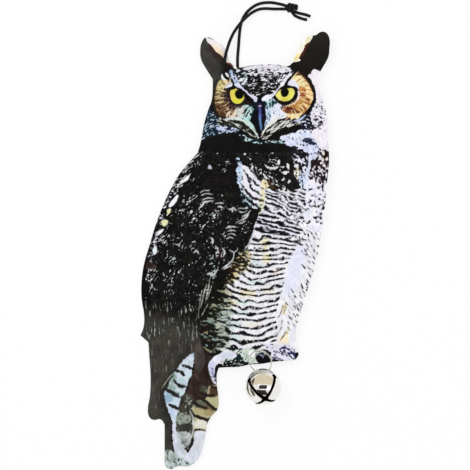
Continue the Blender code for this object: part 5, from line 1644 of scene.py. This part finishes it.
def metalMaterial(name, colour, roughness, brush=0.0, hollow=None):
    # brush deepens the grain; hollow is a middle and a radius, within which the shell's inside is painted
    # dark and dull as painted shade
    material, tree, shader = newMaterial(name, colour, roughness, 1.0)
    smudge = noiseNode(tree, plating["smudge"], 4.0)
    speck = noiseNode(tree, plating["speck"], 3.0)
    darker = tuple(c * plating["tarnish"] for c in colour)
    tint = mixColour(tree, rangeNode(tree, smudge, 0.35, 0.65, 0.0, 1.0), darker, colour)
    rough = mathNode(tree, "ADD", rangeNode(tree, smudge, 0.3, 0.7, roughness * 0.7, roughness * 1.4),
                     rangeNode(tree, speck, 0.55, 0.75, 0.0, 0.05))
    if hollow is not None:
        # painted shade: inside the radius the metal turns near black and rough
        place = addNode(tree, "ShaderNodeTexCoord")
        far = addNode(tree, "ShaderNodeVectorMath", operation="DISTANCE")
        tree.links.new(place.outputs["Object"], far.inputs[0])
        far.inputs[1].default_value = hollow[0]
        inside = rangeNode(tree, far.outputs["Value"], hollow[1] - 0.0001, hollow[1] + 0.00005, 1.0, 0.0)
        tint = mixColour(tree, inside, tint, bell["hollow"])
        rough = mathNode(tree, "MAXIMUM", rough, mathNode(tree, "MULTIPLY", inside, 0.6))
    dress(tree, shader, tint, rough, bumpNode(tree, speck, 0.05 + brush, plating["grainDeep"]))
    return material


def makeRing(metal):
    # measured on the CAD node: middle, plane and radius of the wire's line
    node = nodes["bell_ring"]
    co = np.array([v.co for v in node.data.vertices])
    co = np.unique(np.round(co, 7), axis=0)
    middle = co.mean(0)
    for _ in range(20):
        # each round moves the middle to where all points lie equally far from it
        spread = co - middle
        normal = np.linalg.svd(spread, full_matrices=False)[2][2]
        flat = spread - (spread @ normal)[:, None] * normal
        far = np.linalg.norm(flat, axis=1)
        middle = middle + ((far - far.mean())[:, None] * flat / far[:, None]).mean(0) * 2.0
    radius = far.mean()
    a = np.linalg.svd(flat, full_matrices=False)[2][0]
    b = np.cross(normal, a)
    turns = np.linspace(0.0, math.tau, ring["points"], endpoint=False)
    route = [middle + radius * (math.cos(t) * a + math.sin(t) * b) for t in turns]
    print("ring radius", round(float(radius) * 1000, 2), "mm")
    tube = tubeAlong(route, ring["wire"], ring["around"], closed=True)
    finishPiece("wire_ring", tube, metal, "ring", ["bell_ring"])


def cutAt(p):
    # how far a point of the shell lies from the nearest slot, slot end or crown hole, in metres
    turn = math.radians(bell["slotTurn"])
    u = abs(p.x * math.cos(turn) + p.y * math.sin(turn))
    v = abs(-p.x * math.sin(turn) + p.y * math.cos(turn))
    drop = -bell["slotDrop"]
    found = [math.hypot(u, p.z - drop) - bell["slotEnd"], math.hypot(v, p.z - drop) - bell["slotEnd"]]
    if p.z < drop:
        a = u - bell["slotHalf"]
        b = v - bell["slotHalf"]
        tip = bell["petalTip"]
        if a < tip and b < tip:
            found.append(tip - math.hypot(tip - a, tip - b))
        else:
            found.append(min(a, b))
    if p.z > 0.0:
        found.append(math.hypot(p.x, p.y) - bell["crownHole"])
    return min(found)


def slopeAt(p):
    step = 2e-5
    return Vector([(cutAt(p + step * e) - cutAt(p - step * e)) / (2 * step)
                   for e in (Vector((1, 0, 0)), Vector((0, 1, 0)), Vector((0, 0, 1)))])


def makeShell(metal, matrix):
    radius = bell["radius"]
    wall = bell["wall"]
    rim = wall / 2
    bm = bmesh.new()
    bmesh.ops.create_cube(bm, size=2.0)
    bmesh.ops.subdivide_edges(bm, edges=bm.edges, cuts=bell["cuts"], use_grid_fill=True)
    turn = Matrix.Rotation(math.radians(bell["slotTurn"]), 4, "Z")
    for v in bm.verts:
        # tangent spacing, so that the squares stay even over the ball
        bent = Vector([math.tan(c * math.pi / 4) for c in v.co])
        v.co = turn @ (bent.normalized() * radius)
    gone = [f for f in bm.faces if cutAt(f.calc_center_median().normalized() * radius) < rim]
    bmesh.ops.delete(bm, geom=gone, context="FACES")
    edges = [e for e in bm.edges if e.is_boundary]
    border = {v for e in edges for v in e.verts}
    frames = {}
    for v in border:
        # slides the border onto the cut's own line
        p = v.co.copy()
        for _ in range(6):
            slope = slopeAt(p)
            out = p.normalized()
            slope -= slope.dot(out) * out
            if slope.length < 1e-6:
                break
            p = (p - (cutAt(p) - rim) * slope / slope.length_squared).normalized() * radius
        v.co = p
    for v in border:
        out = v.co.normalized()
        slope = slopeAt(v.co)
        slope = (slope - slope.dot(out) * out).normalized()
        frames[v] = (v.co.copy(), out, -slope)
    inner = bmesh.ops.duplicate(bm, geom=list(bm.faces))["geom"]
    innerVerts = onlyKind(inner, bmesh.types.BMVert)
    for v in innerVerts:
        v.co *= (radius - wall) / radius
    bmesh.ops.reverse_faces(bm, faces=onlyKind(inner, bmesh.types.BMFace))
    # the rim rolls over from the outside to the inside
    steps = bell["rimSteps"]
    owner = {v: v for v in border}
    for i in range(1, steps + 1):
        angle = math.pi * i / steps
        pairs = {}
        grown = bmesh.ops.extrude_edge_only(bm, edges=edges)["geom"]
        newEdges = onlyKind(grown, bmesh.types.BMEdge)
        newVerts = set(onlyKind(grown, bmesh.types.BMVert))
        for e in newEdges:
            a, b = e.verts
            if (a in newVerts) != (b in newVerts):
                fresh, old = (a, b) if a in newVerts else (b, a)
                pairs[fresh] = owner[old]
        for fresh, root in pairs.items():
            place, out, toCut = frames[root]
            fresh.co = place + toCut * rim * math.sin(angle) - out * rim * (1.0 - math.cos(angle))
            if i == steps:
                fresh.co = place * ((radius - wall) / radius)
        owner = pairs
        edges = [e for e in newEdges if e.verts[0] in newVerts and e.verts[1] in newVerts]
    bmesh.ops.remove_doubles(bm, verts=list(owner) + innerVerts, dist=2e-6)
    bmesh.ops.transform(bm, matrix=matrix, verts=bm.verts)
    bmesh.ops.recalc_face_normals(bm, faces=bm.faces)
    piece = finishPiece("bell_dome", bm, metal, "bell", ["bell_shell"])
    print("bell has", len(piece.data.polygons), "faces")


def makeBell():
    crownWay = Vector(bell["crownWay"]).normalized()
    swingWay = Vector(bell["swingWay"])
    swingWay = (swingWay - swingWay.dot(crownWay) * crownWay).normalized()
    turn = Matrix((swingWay.cross(crownWay), swingWay, crownWay)).transposed().to_4x4()
    matrix = Matrix.Translation(bell["middle"]) @ turn
    nickel = metalMaterial("bell_nickel", bell["nickel"], bell["gloss"],
                           hollow=(bell["middle"], bell["radius"] - 0.5 * bell["wall"]))
    wire = metalMaterial("wire_steel", ring["steel"], ring["gloss"], 0.1)
    makeShell(nickel, matrix)
    makeRing(wire)
    for place in nodes["bell_eye"].material_slots:
        place.material = wire
    low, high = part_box("bell_ball")
    bm = bmesh.new()
    radius = (high.z - low.z) / 2
    bmesh.ops.create_uvsphere(bm, u_segments=ball["across"], v_segments=ball["down"], radius=radius)
    bmesh.ops.translate(bm, vec=(low + high) / 2, verts=bm.verts)
    steel = metalMaterial("ball_steel", ball["steel"], ball["gloss"], 0.15)
    finishPiece("loose_ball", bm, steel, "ball", ["bell_ball"])
    print("bell ready")


makeBell()

scene = bpy.context.scene
scene.view_settings.view_transform = "Standard"
